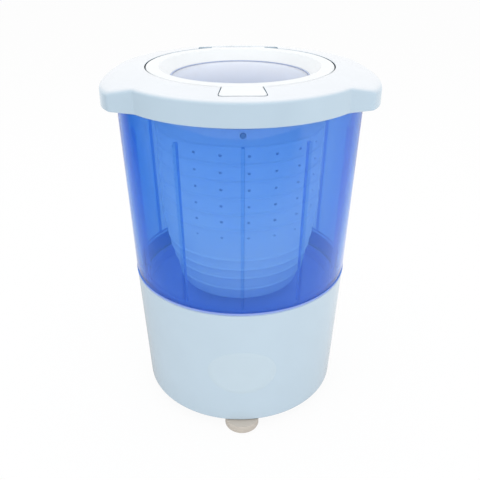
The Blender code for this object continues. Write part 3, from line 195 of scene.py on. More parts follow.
def fit(obj, material, body, slot, *nodes, angle=30.0):
    """Gives a piece its material and shading, and puts it on its body in place of the nodes."""
    obj.data.materials.clear()
    obj.data.materials.append(material)
    obj.data.shade_smooth()
    obj.data.set_sharp_from_angle(angle=math.radians(angle))
    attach(obj, body)
    if nodes:
        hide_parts(*nodes)
    return obj


# Thermoplastic rubber, moulded: dull cream with a fine grain, soft beside the polished shell.
cream_rubber = moulded("cream_tpr_moulded", CREAM, roughness=0.75, grain_mm=0.9, grain_height=0.02)
foot_profile = [
    (0.0, STEM_TOP),
    (STEM_RADIUS, STEM_TOP),
    (BARB_RADIUS, BARB_HEIGHT),
    (STEM_RADIUS, BARB_HEIGHT),
    (STEM_RADIUS, FOOT_TOP),
    (FOOT_RADIUS, FOOT_TOP),
    (FOOT_RADIUS, FOOT_EDGE),
    (FOOT_RADIUS - FOOT_EDGE * FOOT_EDGE_SHARE, FOOT_EDGE * FOOT_EDGE_SHARE),
    (FOOT_RADIUS - FOOT_EDGE, 0.0),
    (FOOT_RADIUS - FOOT_LIP, 0.0),
    (FOOT_RADIUS - FOOT_LIP - FOOT_CUP, FOOT_CUP),
    (0.0, FOOT_CUP),
]
for foot_node, foot_angle in FOOT_PLACES.items():
    foot_centre = on_circle(FOOT_CIRCLE, foot_angle, 0.0)
    foot_mesh = soften(turned(foot_profile, FOOT_STEPS, foot_centre), FOOT_ROUND)
    fit(shape(f"{foot_node}_puck", foot_mesh), cream_rubber, "housing", "cream_rubber", foot_node)


# Base housing. A tapered shell of pale blue ABS, injection moulded in one with the ledge that
# carries the tub's floor. A soft round ends it below, and a chamfer above shows the seam's light line.
BASE_Z = 10.0
SEAM_Z = 156.2
BASE_RADIUS = 111.5
SEAM_RADIUS = 118.6
SEAM_CHAMFER = 1.3
BASE_WALL = 2.8
BASE_ROUND = 3.0
BASE_INNER_CUT = 1.0
LEDGE_TOP = 135.2
LEDGE_BOTTOM = 132.2
LEDGE_RADIUS = 108.6
GUSSET_BOTTOM = 125.0
SPOUT_Z = 109.5
SPOUT_RADIUS = 8.0
GLAND_Z = 34.0
GLAND_RADIUS = 6.0
BACK_CUT = (90.0, 130.0)
GAP = 0.3
SHELL_STEPS = 144
ROD_STEPS = 48
PALE_BLUE = "BDCFDC"


def base_radius(height):
    """Outer radius of the base at a height, in millimetres."""
    return BASE_RADIUS + (SEAM_RADIUS - BASE_RADIUS) * (height - BASE_Z) / (SEAM_Z - BASE_Z)


def arc(centre, radius, start, end, steps):
    """Points along an arc from one angle in degrees to another."""
    angles = [math.radians(start + (end - start) * step / steps) for step in range(steps + 1)]
    return [(centre[0] + radius * math.cos(a), centre[1] + radius * math.sin(a)) for a in angles]


def rod(name, start, end, radius):
    """A cylinder from one point to another, in millimetres."""
    start, end = Vector(start) * MM, Vector(end) * MM
    along = end - start
    bm = bmesh.new()
    bmesh.ops.create_cone(
        bm, cap_ends=True, segments=ROD_STEPS, radius1=radius * MM, radius2=radius * MM, depth=along.length
    )
    turn = along.to_track_quat("Z", "Y").to_matrix().to_4x4()
    bmesh.ops.transform(bm, matrix=Matrix.Translation(start + along / 2) @ turn, verts=bm.verts)
    return shape(name, bm)


def settle(obj):
    """Applies an object's modifiers to its mesh."""
    mesh = bpy.data.meshes.new_from_object(obj.evaluated_get(bpy.context.evaluated_depsgraph_get()))
    obj.modifiers.clear()
    old = obj.data
    obj.data = mesh
    bpy.data.meshes.remove(old)


def carve(obj, *tools, operation="DIFFERENCE"):
    """Cuts the tools from the object, or joins them to it, and removes them."""
    for tool in tools:
        modifier = obj.modifiers.new(tool.name, "BOOLEAN")
        modifier.object = tool
        modifier.operation = operation
        modifier.solver = "EXACT"
        settle(obj)
        bpy.data.objects.remove(tool)


# ABS, moulded and polished: a clear soft mirror on pale blue, with next to no grain.
pale_blue_abs = moulded("pale_blue_abs_polished", PALE_BLUE, roughness=0.14, grain_height=0.002)
base_round_centre = (BASE_RADIUS - BASE_ROUND, BASE_Z + BASE_ROUND)
base_profile = [
    (SEAM_RADIUS - SEAM_CHAMFER, SEAM_Z),
    (SEAM_RADIUS, SEAM_Z - SEAM_CHAMFER),
    *arc(base_round_centre, BASE_ROUND, 0.0, -90.0, steps=6),
    (BASE_RADIUS - BASE_WALL - BASE_INNER_CUT, BASE_Z),
    (BASE_RADIUS - BASE_WALL, BASE_Z + BASE_INNER_CUT),
    (base_radius(GUSSET_BOTTOM) - BASE_WALL, GUSSET_BOTTOM),
    (LEDGE_RADIUS, LEDGE_BOTTOM),
    (LEDGE_RADIUS, LEDGE_TOP),
    (base_radius(LEDGE_TOP) - BASE_WALL, LEDGE_TOP),
    (SEAM_RADIUS - BASE_WALL, SEAM_Z),
]
base = shape("base_housing", turned(base_profile, SHELL_STEPS))
carve(
    base,
    rod("spout_hole", (0, BACK_CUT[0], SPOUT_Z), (0, BACK_CUT[1], SPOUT_Z), SPOUT_RADIUS + GAP),
    rod("gland_hole", (0, BACK_CUT[0], GLAND_Z), (0, BACK_CUT[1], GLAND_Z), GLAND_RADIUS + GAP),
)
fit(base, pale_blue_abs, "housing", "pale_blue_plastic", "base_shell")


# Badge plate. A thin bare oval of the same pale ABS, let into the front of the base.
# It follows the base's taper and stands a hair proud, with a rounded edge.
BADGE_Z = 79.5
BADGE_HALF_WIDTH = 37.5
BADGE_HALF_HEIGHT = 28.5
BADGE_PROUD = 0.5
BADGE_DEPTH = 1.0
BADGE_EDGE = 0.97
BADGE_RINGS = 12
BADGE_STEPS = 96
BADGE_BLUE = "C0D1DC"

# A disc with rings inside it, thickened and then wrapped round the base.
badge_mesh = bmesh.new()
bmesh.ops.create_circle(badge_mesh, cap_ends=True, segments=BADGE_STEPS, radius=1.0)
badge_middle = badge_mesh.faces[:]
for ring in range(BADGE_RINGS - 1):
    bmesh.ops.inset_individual(badge_mesh, faces=badge_middle, thickness=1.0 / BADGE_RINGS)
badge_sheet = bmesh.ops.extrude_face_region(badge_mesh, geom=badge_mesh.faces[:])
badge_front = {v for v in badge_sheet["geom"] if isinstance(v, bmesh.types.BMVert)}
for vert in badge_mesh.verts:
    across, up = vert.co.x, vert.co.y
    height = BADGE_Z + up * BADGE_HALF_HEIGHT
    edge = max(0.0, math.hypot(across, up) - BADGE_EDGE) / (1.0 - BADGE_EDGE)
    depth = BADGE_PROUD - BADGE_PROUD * edge**2 if vert in badge_front else BADGE_PROUD - BADGE_DEPTH
    radius = base_radius(height) + depth
    angle = across * BADGE_HALF_WIDTH / base_radius(BADGE_Z)
    vert.co = (radius * math.sin(angle) * MM, -radius * math.cos(angle) * MM, height * MM)
bmesh.ops.recalc_face_normals(badge_mesh, faces=badge_mesh.faces)
# ABS, moulded with a satin face: nearly the base's pale blue, with a duller mirror.
badge_abs = moulded("pale_blue_abs_badge", BADGE_BLUE, roughness=0.26, grain_height=0.003)
fit(shape("badge_plate", badge_mesh), badge_abs, "housing", "pale_blue_plastic")


# Bottom plate. A flat moulding of the same pale ABS that closes the base from below, with cooling
# slots in a ring under the motor, holes for the feet and three bosses for the motor's mounts.
PLATE_TOP = 13.0
PLATE_RADIUS = 108.0
SLOT_COUNT = 8
SLOT_LENGTH = 26.0
SLOT_WIDTH = 4.0
SLOT_CIRCLE = 52.0
BOSS_CIRCLE = 70.0
BOSS_RADIUS = 9.0
BOSS_TOP = 19.0
BOSS_ANGLES = (90.0, 210.0, 330.0)


def moved(x, y, z):
    """A move in millimetres, as a matrix."""
    return Matrix.Translation((x * MM, y * MM, z * MM))


def block(name, size, place):
    """A box of a size in millimetres, placed by a matrix."""
    bm = bmesh.new()
    bmesh.ops.create_cube(bm, size=1.0)
    bmesh.ops.scale(bm, verts=bm.verts, vec=[side * MM for side in size])
    bmesh.ops.transform(bm, matrix=place, verts=bm.verts)
    return shape(name, bm)


plate_profile = [(0.0, PLATE_TOP), (PLATE_RADIUS, PLATE_TOP), (PLATE_RADIUS, BASE_Z), (0.0, BASE_Z)]
plate = shape("base_closing_plate", turned(plate_profile, SHELL_STEPS))
plate_middle = (PLATE_TOP + BASE_Z) / 2
for number in range(SLOT_COUNT):
    slot_turn = Matrix.Rotation(math.tau * (number + 0.5) / SLOT_COUNT, 4, "Z")
    slot_place = slot_turn @ moved(SLOT_CIRCLE, 0.0, plate_middle)
    carve(plate, block("slot", (SLOT_LENGTH, SLOT_WIDTH, 3 * PLATE_TOP), slot_place))
for boss_angle in BOSS_ANGLES:
    boss_ends = on_circle(BOSS_CIRCLE, boss_angle, plate_middle), on_circle(BOSS_CIRCLE, boss_angle, BOSS_TOP)
    carve(plate, rod("boss", *boss_ends, BOSS_RADIUS), operation="UNION")
for foot_angle in FOOT_PLACES.values():
    hole_ends = on_circle(FOOT_CIRCLE, foot_angle, 0.0), on_circle(FOOT_CIRCLE, foot_angle, 2 * PLATE_TOP)
    carve(plate, rod("stem_hole", *hole_ends, STEM_RADIUS + GAP))
fit(plate, pale_blue_abs, "housing", "pale_blue_plastic", "bottom_plate")


# Motor and drive, inside the base. A pressed plate on waisted rubber mounts carries die-cast end caps
# round laminations with varnished copper windings, over a capacitor on the bottom plate. The shaft turns
# in two bearings in a die-cast housing, goes up through a rubber seal and carries the drum's hub.
ZINC = "C9CCCE"
CAST = "B4B7BA"
LAMINATED = "77726C"
COPPER = "A65A2E"
BLACK = "26272A"
STEEL = "C8CACC"
PBT_GREY = "9A9EA4"
METAL_DRIFT = 0.08
METAL_DETAIL = 3.0
GRINDING = (1.0, 1.0, 12.0)
LAMINATION_MM = 1.0
LAMINATION_RELIEF = 0.1
STATOR_BOTTOM = 57.2
STATOR_TOP = 87.2


def metal(name, srgb_hex, roughness, grain_mm, grain_height, stretch=(1.0, 1.0, 1.0)):
    """Bare metal: its own colour, with the marks that the mould or the last tool left in it.

    The real marks of casting and grinding are finer. They are drawn coarser, so that they show.
    """
    material, tree, output = new_material(name)
    marks = grain(tree, grain_mm, METAL_DETAIL, stretch)
    polish = {"To Min": roughness - METAL_DRIFT, "To Max": roughness + METAL_DRIFT}
    relief = {"Distance": grain_height * MM}
    links = {
        "Roughness": add_node(tree, "ShaderNodeMapRange", polish, {"Value": marks}).outputs["Result"],
        "Normal": add_node(tree, "ShaderNodeBump", relief, {"Height": marks}).outputs["Normal"],
    }
    settings = {"Base Color": linear(srgb_hex), "Metallic": 1.0}
    surface = add_node(tree, "ShaderNodeBsdfPrincipled", settings, links)
    tree.links.new(surface.outputs["BSDF"], output.inputs["Surface"])
    return material


def wound_core():
    """Varnished laminations, drawn 1 mm thick so that they show, with copper where the coils stand out."""
    material, tree, output = new_material("laminated_steel_and_copper")
    place = add_node(tree, "ShaderNodeTexCoord").outputs["Object"]
    height = add_node(tree, "ShaderNodeSeparateXYZ", None, {"Vector": place}).outputs["Z"]
    sheets = {"wave_type": "BANDS", "bands_direction": "Z", "Scale": math.pi / (10 * LAMINATION_MM * MM)}
    bands = add_node(tree, "ShaderNodeTexWave", sheets, {"Vector": place}).outputs["Fac"]
    middle = (STATOR_BOTTOM + STATOR_TOP) / 2 * MM
    reach = (STATOR_TOP - STATOR_BOTTOM) / 2 * MM
    in_stack = add_node(tree, "ShaderNodeMath", {"operation": "COMPARE", 1: middle, 2: reach}, {0: height})
    colours = {"data_type": "RGBA", 6: linear(COPPER), 7: linear(LAMINATED)}
    relief = {"Distance": LAMINATION_RELIEF * MM}
    links = {
        "Base Color": add_node(tree, "ShaderNodeMix", colours, {0: in_stack.outputs[0]}).outputs[2],
        "Normal": add_node(tree, "ShaderNodeBump", relief, {"Height": bands}).outputs["Normal"],
    }
    surface = add_node(tree, "ShaderNodeBsdfPrincipled", {"Metallic": 0.9, "Roughness": 0.45}, links)
    tree.links.new(surface.outputs["BSDF"], output.inputs["Surface"])
    return material


def dress(material, *nodes):
    """Gives CAD nodes that keep their own shape a material."""
    for node in nodes:
        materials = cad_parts[node].data.materials
        materials.clear()
        materials.append(material)


# Zinc-plated steel, pressed: a cool sheen in broad soft patches.
zinc_steel = metal("zinc_plated_steel_pressed", ZINC, roughness=0.38, grain_mm=6.0, grain_height=0.002)
# Aluminium, die-cast: dull grey with the slight roughness of the mould.
cast_aluminium = metal("aluminium_die_cast", CAST, roughness=0.5, grain_mm=0.8, grain_height=0.02)
# Steel, ground: bright, with fine rings that the wheel left round it.
ground_steel = metal(
    "steel_ground", STEEL, roughness=0.25, grain_mm=0.6, grain_height=0.002, stretch=GRINDING
)
# EPDM rubber, moulded: matt and nearly black.
black_rubber = moulded("epdm_rubber_black", BLACK, roughness=0.7, grain_mm=0.7, grain_height=0.01)
# PBT, moulded: a plain grey, half matt.
grey_pbt = moulded("pbt_grey_moulded", PBT_GREY, roughness=0.5)
dress(zinc_steel, "motor_plate")
dress(cast_aluminium, "motor_lower_cap", "motor_upper_cap", "bearing_housing", "drum_hub")
dress(wound_core(), "motor_stator", "motor_rotor")
dress(black_rubber, "motor_mount_rear", "motor_mount_left", "motor_mount_right", "shaft_seal")
dress(grey_pbt, "run_capacitor")
dress(ground_steel, "upper_bearing", "lower_bearing", "drive_shaft")


# Tub floor, its seal and the drain spout. The floor is a pale blue polypropylene pan with a drain
# channel round it, under a ring of grey rubber that the tub presses on. The spout is a grey
# polypropylene elbow that carries the water out through the back of the base.
FLOOR_PROFILE = [
    (114.2, 138.0),
    (114.2, 135.5),
    (108.0, 135.5),
    (108.0, 124.5),
    (95.0, 124.5),
    (26.5, 128.2),
    (24.0, 128.2),
    (24.0, 134.1),
    (26.5, 134.1),
    (26.5, 130.7),
    (95.0, 127.0),
    (105.5, 127.0),
    (105.5, 138.0),
]
FLOOR_ROUND = 0.6
FLOOR_UNDER = 124.5
SEAL_PROFILE = [(114.2, 139.5), (114.2, 138.3), (111.7, 138.3), (111.7, 139.5)]
SEAL_ROUND = 0.3
CHANNEL_MIDDLE = 100.25
CHANNEL_CUT = (115.0, 135.0)
RISER_BORE = 4.5
RISER_CUT_TOP = 130.0
SPOUT_BORE = 6.0
SPOUT_END = 127.3
SPOUT_CUT_OVER = 5.0
FLOOR_BLUE = "AEB2FF"
SPOUT_GREY = "B4B9C0"
SEAL_GREY = "6C788C"

# Polypropylene, moulded: waxy and half matt. The pan's pale blue turns deep behind the tub's wall.
blue_pp = moulded("pp_pale_blue_moulded", FLOOR_BLUE, roughness=0.42)
grey_pp = moulded("pp_grey_moulded", SPOUT_GREY, roughness=0.42)
tub_pan = shape("tub_pan", soften(turned(FLOOR_PROFILE, SHELL_STEPS), FLOOR_ROUND))
drain_ends = (0, CHANNEL_MIDDLE, CHANNEL_CUT[0]), (0, CHANNEL_MIDDLE, CHANNEL_CUT[1])
carve(tub_pan, rod("drain_hole", *drain_ends, RISER_BORE))
fit(tub_pan, blue_pp, "housing", "grey_plastic", "tub_floor")

# EPDM rubber, moulded: matt blue-grey, a quiet line under the seam.
grey_rubber = moulded("epdm_rubber_grey", SEAL_GREY, roughness=0.6, grain_mm=0.7, grain_height=0.01)
seal_mesh = soften(turned(SEAL_PROFILE, SHELL_STEPS), SEAL_ROUND)
fit(shape("tub_floor_seal", seal_mesh), grey_rubber, "housing", "black_rubber", "tub_seal")

spout = rod("drain_elbow", (0, CHANNEL_MIDDLE - SPOUT_RADIUS, SPOUT_Z), (0, SPOUT_END, SPOUT_Z), SPOUT_RADIUS)
riser_ends = (0, CHANNEL_MIDDLE, SPOUT_Z), (0, CHANNEL_MIDDLE, FLOOR_UNDER - GAP)
carve(spout, rod("riser", *riser_ends, RISER_BORE + SPOUT_RADIUS - SPOUT_BORE), operation="UNION")
bore_ends = (0, CHANNEL_MIDDLE - SPOUT_BORE, SPOUT_Z), (0, SPOUT_END + SPOUT_CUT_OVER, SPOUT_Z)
carve(
    spout,
    rod("bore", *bore_ends, SPOUT_BORE),
    rod("riser_bore", riser_ends[0], (0, CHANNEL_MIDDLE, RISER_CUT_TOP), RISER_BORE),
)
fit(spout, grey_pp, "housing", "grey_plastic", "drain_spout")


# Gland. A flanged bush of black rubber, pushed into the hole low in the back of the base.
# It is moulded, with a small round on each edge.
GLAND_BORE = 3.4
GLAND_FLANGE = 8.5
GLAND_ENDS = (99.4, 113.4, 116.4)
GLAND_ROUND = 0.5
GLAND_STEPS = 48


def laid_down(bm, y, z):
    """Turns an upright mesh to point forwards, and moves it by y and z in millimetres."""
    bmesh.ops.rotate(bm, verts=bm.verts, cent=(0, 0, 0), matrix=Matrix.Rotation(math.pi / 2, 3, "X"))
    bmesh.ops.translate(bm, verts=bm.verts, vec=(0.0, y * MM, z * MM))
    return bm


gland_profile = [
    (GLAND_BORE, -GLAND_ENDS[0]),
    (GLAND_RADIUS, -GLAND_ENDS[0]),
    (GLAND_RADIUS, -GLAND_ENDS[1]),
    (GLAND_FLANGE, -GLAND_ENDS[1]),
    (GLAND_FLANGE, -GLAND_ENDS[2]),
    (GLAND_BORE, -GLAND_ENDS[2]),
]
gland_mesh = laid_down(soften(turned(gland_profile, GLAND_STEPS), GLAND_ROUND), 0.0, GLAND_Z)
fit(shape("cable_bush", gland_mesh), black_rubber, "housing", "black_rubber", "cord_gland")


# Tub wall. Clear blue SAN, injection moulded and polished, with twelve upright ribs inside, a bead
# over the seam with the base, and a lap that the cover fits over.
TUB_Z = 156.5
TUB_TOP = 352.1
TUB_TOP_RADIUS = 125.8
TUB_LAP_RADIUS = 125.3
TUB_LAP_TOP = 360.1
TUB_WALL = 2.5
TUB_STEPS = 240
TUB_ROUND = 0.4
SPIGOT_Z = 139.8
SPIGOT_RADIUS = 114.7
SPIGOT_STEP = 0.8
BEAD_TOP = 159.5
BEAD_PROUD = 0.5
SEAM_GROOVE_WIDTH = 1.0
SEAM_GROOVE_DEPTH = 0.9
RIB_COUNT = 12
RIB_BOTTOM = 162.0
RIB_TOP = 333.0
RIB_DEPTH = 4.5
FACING_INWARD = -0.7
SAN_IOR = 1.57
SAN_ROUGHNESS = 0.03
THIN_WALL_IOR = 1.01
WAVE_SIZE = 30.0
WAVE_HEIGHT = 0.03
TUB_FRONT_TINT = "DAF1F9"
TUB_SIDE_TINT = "7ABEF5"
ASLANT = (0.15, 0.6)
RIB_TINT_SHARE = 0.9
TOP_DEEPENING_SHARE = 0.6
TUB_HAZE = "3C80EE"
TUB_HAZE_SHARE = 0.22
# Painted highlight: the pale blue that the bead over the seam is drawn in, for the light line along the seam.
BEAD_HIGHLIGHT_BLUE = "A6B4E4"
BEAD_HIGHLIGHT_SHARE = 0.8


def tub_radius(height):
    """Outer radius of the tub at a height, in millimetres."""
    return SEAM_RADIUS + (TUB_TOP_RADIUS - SEAM_RADIUS) * (height - TUB_Z) / (TUB_TOP - TUB_Z)


def clear_plastic(name, tint_hex, haze_hex, haze_share, ior, roughness):
    """Clear moulded plastic, which tints what is behind it and scatters a little light of its own.

    The wall is thin, so its two faces nearly cancel each other's bending. A low index inside and a
    polished coat with the plastic's own index outside give that look without black edges. Returned with
    the material are the nodes whose colour or share a section may link to a pattern.
    """
    material, tree, output = new_material(name)
    relief = {"Distance": WAVE_HEIGHT * MM}
    waves = add_node(tree, "ShaderNodeBump", relief, {"Height": grain(tree, WAVE_SIZE)}).outputs["Normal"]
    settings = {
        "Base Color": linear(tint_hex),
        "Roughness": roughness,
        "IOR": THIN_WALL_IOR,
        "Transmission Weight": 1.0,
        "Coat Weight": 1.0,
        "Coat Roughness": roughness,
        "Coat IOR": ior,
    }
    clear = add_node(tree, "ShaderNodeBsdfPrincipled", settings, {"Normal": waves, "Coat Normal": waves})
    haze = add_node(tree, "ShaderNodeBsdfDiffuse", {"Color": linear(haze_hex)})
    layers = {1: clear.outputs["BSDF"], 2: haze.outputs["BSDF"]}
    hazy = add_node(tree, "ShaderNodeMixShader", {0: haze_share}, layers)
    # A lamp's light crosses the wall straight, tinted by half as much as a look through both faces.
    half_tint = tuple(math.sqrt(channel) for channel in linear(tint_hex))
    lamps = add_node(tree, "ShaderNodeBsdfTransparent", {"Color": half_tint})
    path = add_node(tree, "ShaderNodeLightPath").outputs["Is Shadow Ray"]
    links = {0: path, 1: hazy.outputs["Shader"], 2: lamps.outputs["BSDF"]}
    wall = add_node(tree, "ShaderNodeMixShader", None, links)
    tree.links.new(wall.outputs["Shader"], output.inputs["Surface"])
    return material, clear, haze, hazy


seam_groove_top = BEAD_TOP + SEAM_GROOVE_WIDTH
tub_profile = [
    (TUB_LAP_RADIUS, TUB_LAP_TOP),
    (TUB_LAP_RADIUS, TUB_TOP),
    (TUB_TOP_RADIUS, TUB_TOP),
    (tub_radius(seam_groove_top), seam_groove_top),
    (tub_radius(seam_groove_top) - SEAM_GROOVE_DEPTH, BEAD_TOP + SEAM_GROOVE_WIDTH / 2),
    (SEAM_RADIUS, BEAD_TOP),
    (SEAM_RADIUS + BEAD_PROUD, BEAD_TOP - BEAD_PROUD),
    (SEAM_RADIUS + BEAD_PROUD, TUB_Z + BEAD_PROUD),
    (SEAM_RADIUS, TUB_Z),
    (SPIGOT_RADIUS + SPIGOT_STEP, TUB_Z),
    (SPIGOT_RADIUS, SPIGOT_Z),
    (SPIGOT_RADIUS - TUB_WALL, SPIGOT_Z),
    (SPIGOT_RADIUS - TUB_WALL + SPIGOT_STEP, TUB_Z),
    (tub_radius(RIB_BOTTOM) - TUB_WALL, RIB_BOTTOM),
    (tub_radius(RIB_TOP) - TUB_WALL, RIB_TOP),
    (TUB_TOP_RADIUS - TUB_WALL, TUB_TOP),
    (TUB_TOP_RADIUS - TUB_WALL, TUB_LAP_TOP),
]
tub_mesh = turned(tub_profile, TUB_STEPS, start=-180.0 / TUB_STEPS)

# Each rib is extruded from the strip of the inner wall that lies at its angle.
rib_pitch = 360 / RIB_COUNT
facet = 360 / TUB_STEPS
rib_feet = []
for face in tub_mesh.faces:
    middle = face.calc_center_median()
    from_rib = (math.degrees(math.atan2(middle.y, middle.x)) + rib_pitch / 2) % rib_pitch
    inward = face.normal.dot(Vector((middle.x, middle.y, 0.0)).normalized()) < FACING_INWARD
    between = RIB_BOTTOM * MM < middle.z < RIB_TOP * MM
    if inward and between and abs(from_rib - rib_pitch / 2) < facet / 4:
        rib_feet.append(face)
ribs = bmesh.ops.extrude_face_region(tub_mesh, geom=rib_feet)["geom"]
bmesh.ops.delete(tub_mesh, geom=rib_feet, context="FACES_ONLY")
rib_verts = [item for item in ribs if isinstance(item, bmesh.types.BMVert)]
for vert in rib_verts:
    radius = math.hypot(vert.co.x, vert.co.y)
    vert.co.xy *= (radius - RIB_DEPTH * MM) / radius

# Faces of the ribs, the spigot and the seam's groove are marked as thick, and those of the bead for a pale
# painted highlight.
thick_layer = tub_mesh.faces.layers.float.new("thick")
for face in {face for vert in rib_verts for face in vert.link_faces}:
    face[thick_layer] = RIB_TINT_SHARE
bead_highlight_layer = tub_mesh.faces.layers.float.new("bead_highlight")
for face in tub_mesh.faces:
    middle = face.calc_center_median() / MM
    outside = math.hypot(middle.x, middle.y) > SEAM_RADIUS - SEAM_GROOVE_DEPTH
    if middle.z < TUB_Z or (outside and BEAD_TOP - BEAD_PROUD < middle.z < seam_groove_top):
        face[thick_layer] = 1.0
    elif outside and middle.z < BEAD_TOP:
        face[bead_highlight_layer] = BEAD_HIGHLIGHT_SHARE
bmesh.ops.recalc_face_normals(tub_mesh, faces=tub_mesh.faces)

# SAN, moulded and polished: glassy, with faint waves in its mirror. Its blue is light where the wall is
# met squarely. It deepens where light crosses more plastic, aslant and in thick faces, and it deepens
# towards the top of the wall. The bead over the seam is drawn pale and diffuse, a painted highlight.
clear_blue_san, tub_clear, tub_haze, tub_hazy = clear_plastic(
    "san_clear_blue_polished", TUB_FRONT_TINT, TUB_HAZE, TUB_HAZE_SHARE, SAN_IOR, SAN_ROUGHNESS
)
san = clear_blue_san.node_tree
slant = add_node(san, "ShaderNodeLayerWeight", {"Blend": 0.5}).outputs["Facing"]
slant_range = {"From Min": ASLANT[0], "From Max": ASLANT[1]}
aslant = add_node(san, "ShaderNodeMapRange", slant_range, {"Value": slant}).outputs["Result"]
thick = add_node(san, "ShaderNodeAttribute", {"attribute_name": "thick"}).outputs["Fac"]
tub_place = add_node(san, "ShaderNodeTexCoord").outputs["Object"]
tub_height = add_node(san, "ShaderNodeSeparateXYZ", None, {"Vector": tub_place}).outputs["Z"]
# The tub's blue deepens steadily from its foot to its top.
taper = {"From Min": TUB_Z * MM, "From Max": TUB_TOP * MM, "To Max": TOP_DEEPENING_SHARE}
towards_top = add_node(san, "ShaderNodeMapRange", taper, {"Value": tub_height}).outputs["Result"]
deeper = add_node(san, "ShaderNodeMath", {"operation": "MAXIMUM"}, {0: aslant, 1: thick}).outputs[0]
deepest = add_node(san, "ShaderNodeMath", {"operation": "MAXIMUM"}, {0: deeper, 1: towards_top}).outputs[0]
tints = {"data_type": "RGBA", 6: linear(TUB_FRONT_TINT), 7: linear(TUB_SIDE_TINT)}
tint = add_node(san, "ShaderNodeMix", tints, {0: deepest}).outputs[2]
san.links.new(tint, tub_clear.inputs["Base Color"])
# Painted highlight: the bead's faces take a pale diffuse blue in place of clear plastic.
bead_highlight = add_node(san, "ShaderNodeAttribute", {"attribute_name": "bead_highlight"}).outputs["Fac"]
hazes = {"data_type": "RGBA", 6: linear(TUB_HAZE), 7: linear(BEAD_HIGHLIGHT_BLUE)}
san.links.new(add_node(san, "ShaderNodeMix", hazes, {0: bead_highlight}).outputs[2], tub_haze.inputs["Color"])
least_haze = {"operation": "MAXIMUM", 1: TUB_HAZE_SHARE}
san.links.new(add_node(san, "ShaderNodeMath", least_haze, {0: bead_highlight}).outputs[0], tub_hazy.inputs[0])
tub_wall = shape("tub_wall", soften(tub_mesh, TUB_ROUND, angle=50.0, segments=2))
fit(tub_wall, clear_blue_san, "housing", "clear_blue_plastic", "tub")


# Plug at the tub's front. A small domed blue plug, moulded in polyethylene and pressed into the hole
# where a screw ties the tub's rim to the cover.
PLUG_Z = 345.5
PLUG_RADIUS = 2.7
PLUG_HEIGHT = 1.0
PLUG_ROUND = 0.8
PLUG_DEPTH = 0.6
PLUG_STEPS = 32
PLUG_BLUE = "2C64AE"

# Polyethylene, moulded: a soft dot of deeper blue with a blurred mirror.
blue_pe = moulded("pe_blue_moulded", PLUG_BLUE, roughness=0.45)
plug_round = arc((PLUG_RADIUS - PLUG_ROUND, PLUG_HEIGHT - PLUG_ROUND), PLUG_ROUND, 90.0, 0.0, steps=5)
plug_profile = [(0.0, PLUG_HEIGHT), *plug_round, (PLUG_RADIUS, -PLUG_DEPTH), (0.0, -PLUG_DEPTH)]
plug_mesh = laid_down(turned(plug_profile, PLUG_STEPS), -tub_radius(PLUG_Z), PLUG_Z)
fit(shape("rim_plug", plug_mesh), blue_pe, "housing", "clear_blue_plastic")


# Drum. White polypropylene, moulded with raised ring beads that stiffen the wall, and drain holes
# in rows between them. The bowl below the wall is plain but for its beads.
DRUM_TABLE = [
    (339.4, 88.0),
    (225.3, 85.6),
    (207.4, 82.0),
    (187.6, 78.7),
    (167.8, 72.7),
    (149.2, 67.6),
    (143.3, 65.6),
]
DRUM_BOTTOM = 143.3
DRUM_TOP = 339.4
DRUM_WALL = 1.7
DRUM_STEPS = 160
DRUM_LOWEST_RING = 2.0
BOWL_RING_PITCH = 6.0
BOWL_RINGS = 14
HUB_HOLE = 12.3
ROW_COUNT = 6
ROW_PITCH = 17.4
TOP_BEAD = 322.1
TOP_HOLES = 313.4
BOWL_BEADS = [198.0, 185.5, 173.0, 157.0]
RING_BEADS = [TOP_BEAD - ROW_PITCH * row for row in range(ROW_COUNT)] + BOWL_BEADS
BEAD_RISE = 1.1
BEAD_HALF = 2.1
BEAD_CREST = 1.5
BEAD_CLEAR = 1.0
SIDE_SAMPLES = 4
HOLE_ROWS = [TOP_HOLES - ROW_PITCH * row for row in range(ROW_COUNT)]
HOLE_COLUMNS = 20
HOLE_START = 4.5
HOLE_RADIUS = 1.4
HOLE_INSET = 0.25
HOLE_CORNER = 0.75
SMOOTHING = 7.0
DRUM_WHITE = "EDF1F7"


def table_radius(height):
    """Radius between two entries of the drum's table."""
    for (upper, wide), (lower, narrow) in zip(DRUM_TABLE, DRUM_TABLE[1:]):
        if height >= lower:
            return narrow + (wide - narrow) * (height - lower) / (upper - lower)
    return DRUM_TABLE[-1][1]


def drum_radius(height):
    """The drum's outer radius at a height, with the table's corners rounded and the beads raised."""
    reach = min(SMOOTHING, DRUM_TOP - height, height - DRUM_BOTTOM)
    samples = [height + reach * step / SIDE_SAMPLES for step in range(-SIDE_SAMPLES, SIDE_SAMPLES + 1)]
    radius = sum(table_radius(sample) for sample in samples) / len(samples)
    for bead in RING_BEADS:
        if abs(height - bead) < BEAD_HALF:
            radius += BEAD_RISE * math.cos(math.pi / 2 * (height - bead) / BEAD_HALF) ** BEAD_CREST
    return radius


drum_heights = {DRUM_BOTTOM, DRUM_TOP, DRUM_BOTTOM + DRUM_LOWEST_RING}
for bead in RING_BEADS:
    drum_heights |= {
        bead + BEAD_HALF * step / SIDE_SAMPLES for step in range(-SIDE_SAMPLES, SIDE_SAMPLES + 1)
    }
for row in HOLE_ROWS:
    drum_heights |= {row - HOLE_RADIUS, row + HOLE_RADIUS}
for step in range(BOWL_RINGS):
    height = DRUM_BOTTOM + BOWL_RING_PITCH * (step + 1)
    if min(abs(height - bead) for bead in RING_BEADS) > BEAD_HALF + BEAD_CLEAR:
        drum_heights.add(height)
drum_profile = [(drum_radius(height), height) for height in sorted(drum_heights, reverse=True)]
drum_profile.append((HUB_HOLE, DRUM_BOTTOM))
drum_mesh = turned(drum_profile, DRUM_STEPS, start=-180.0 / DRUM_STEPS, closed=False)
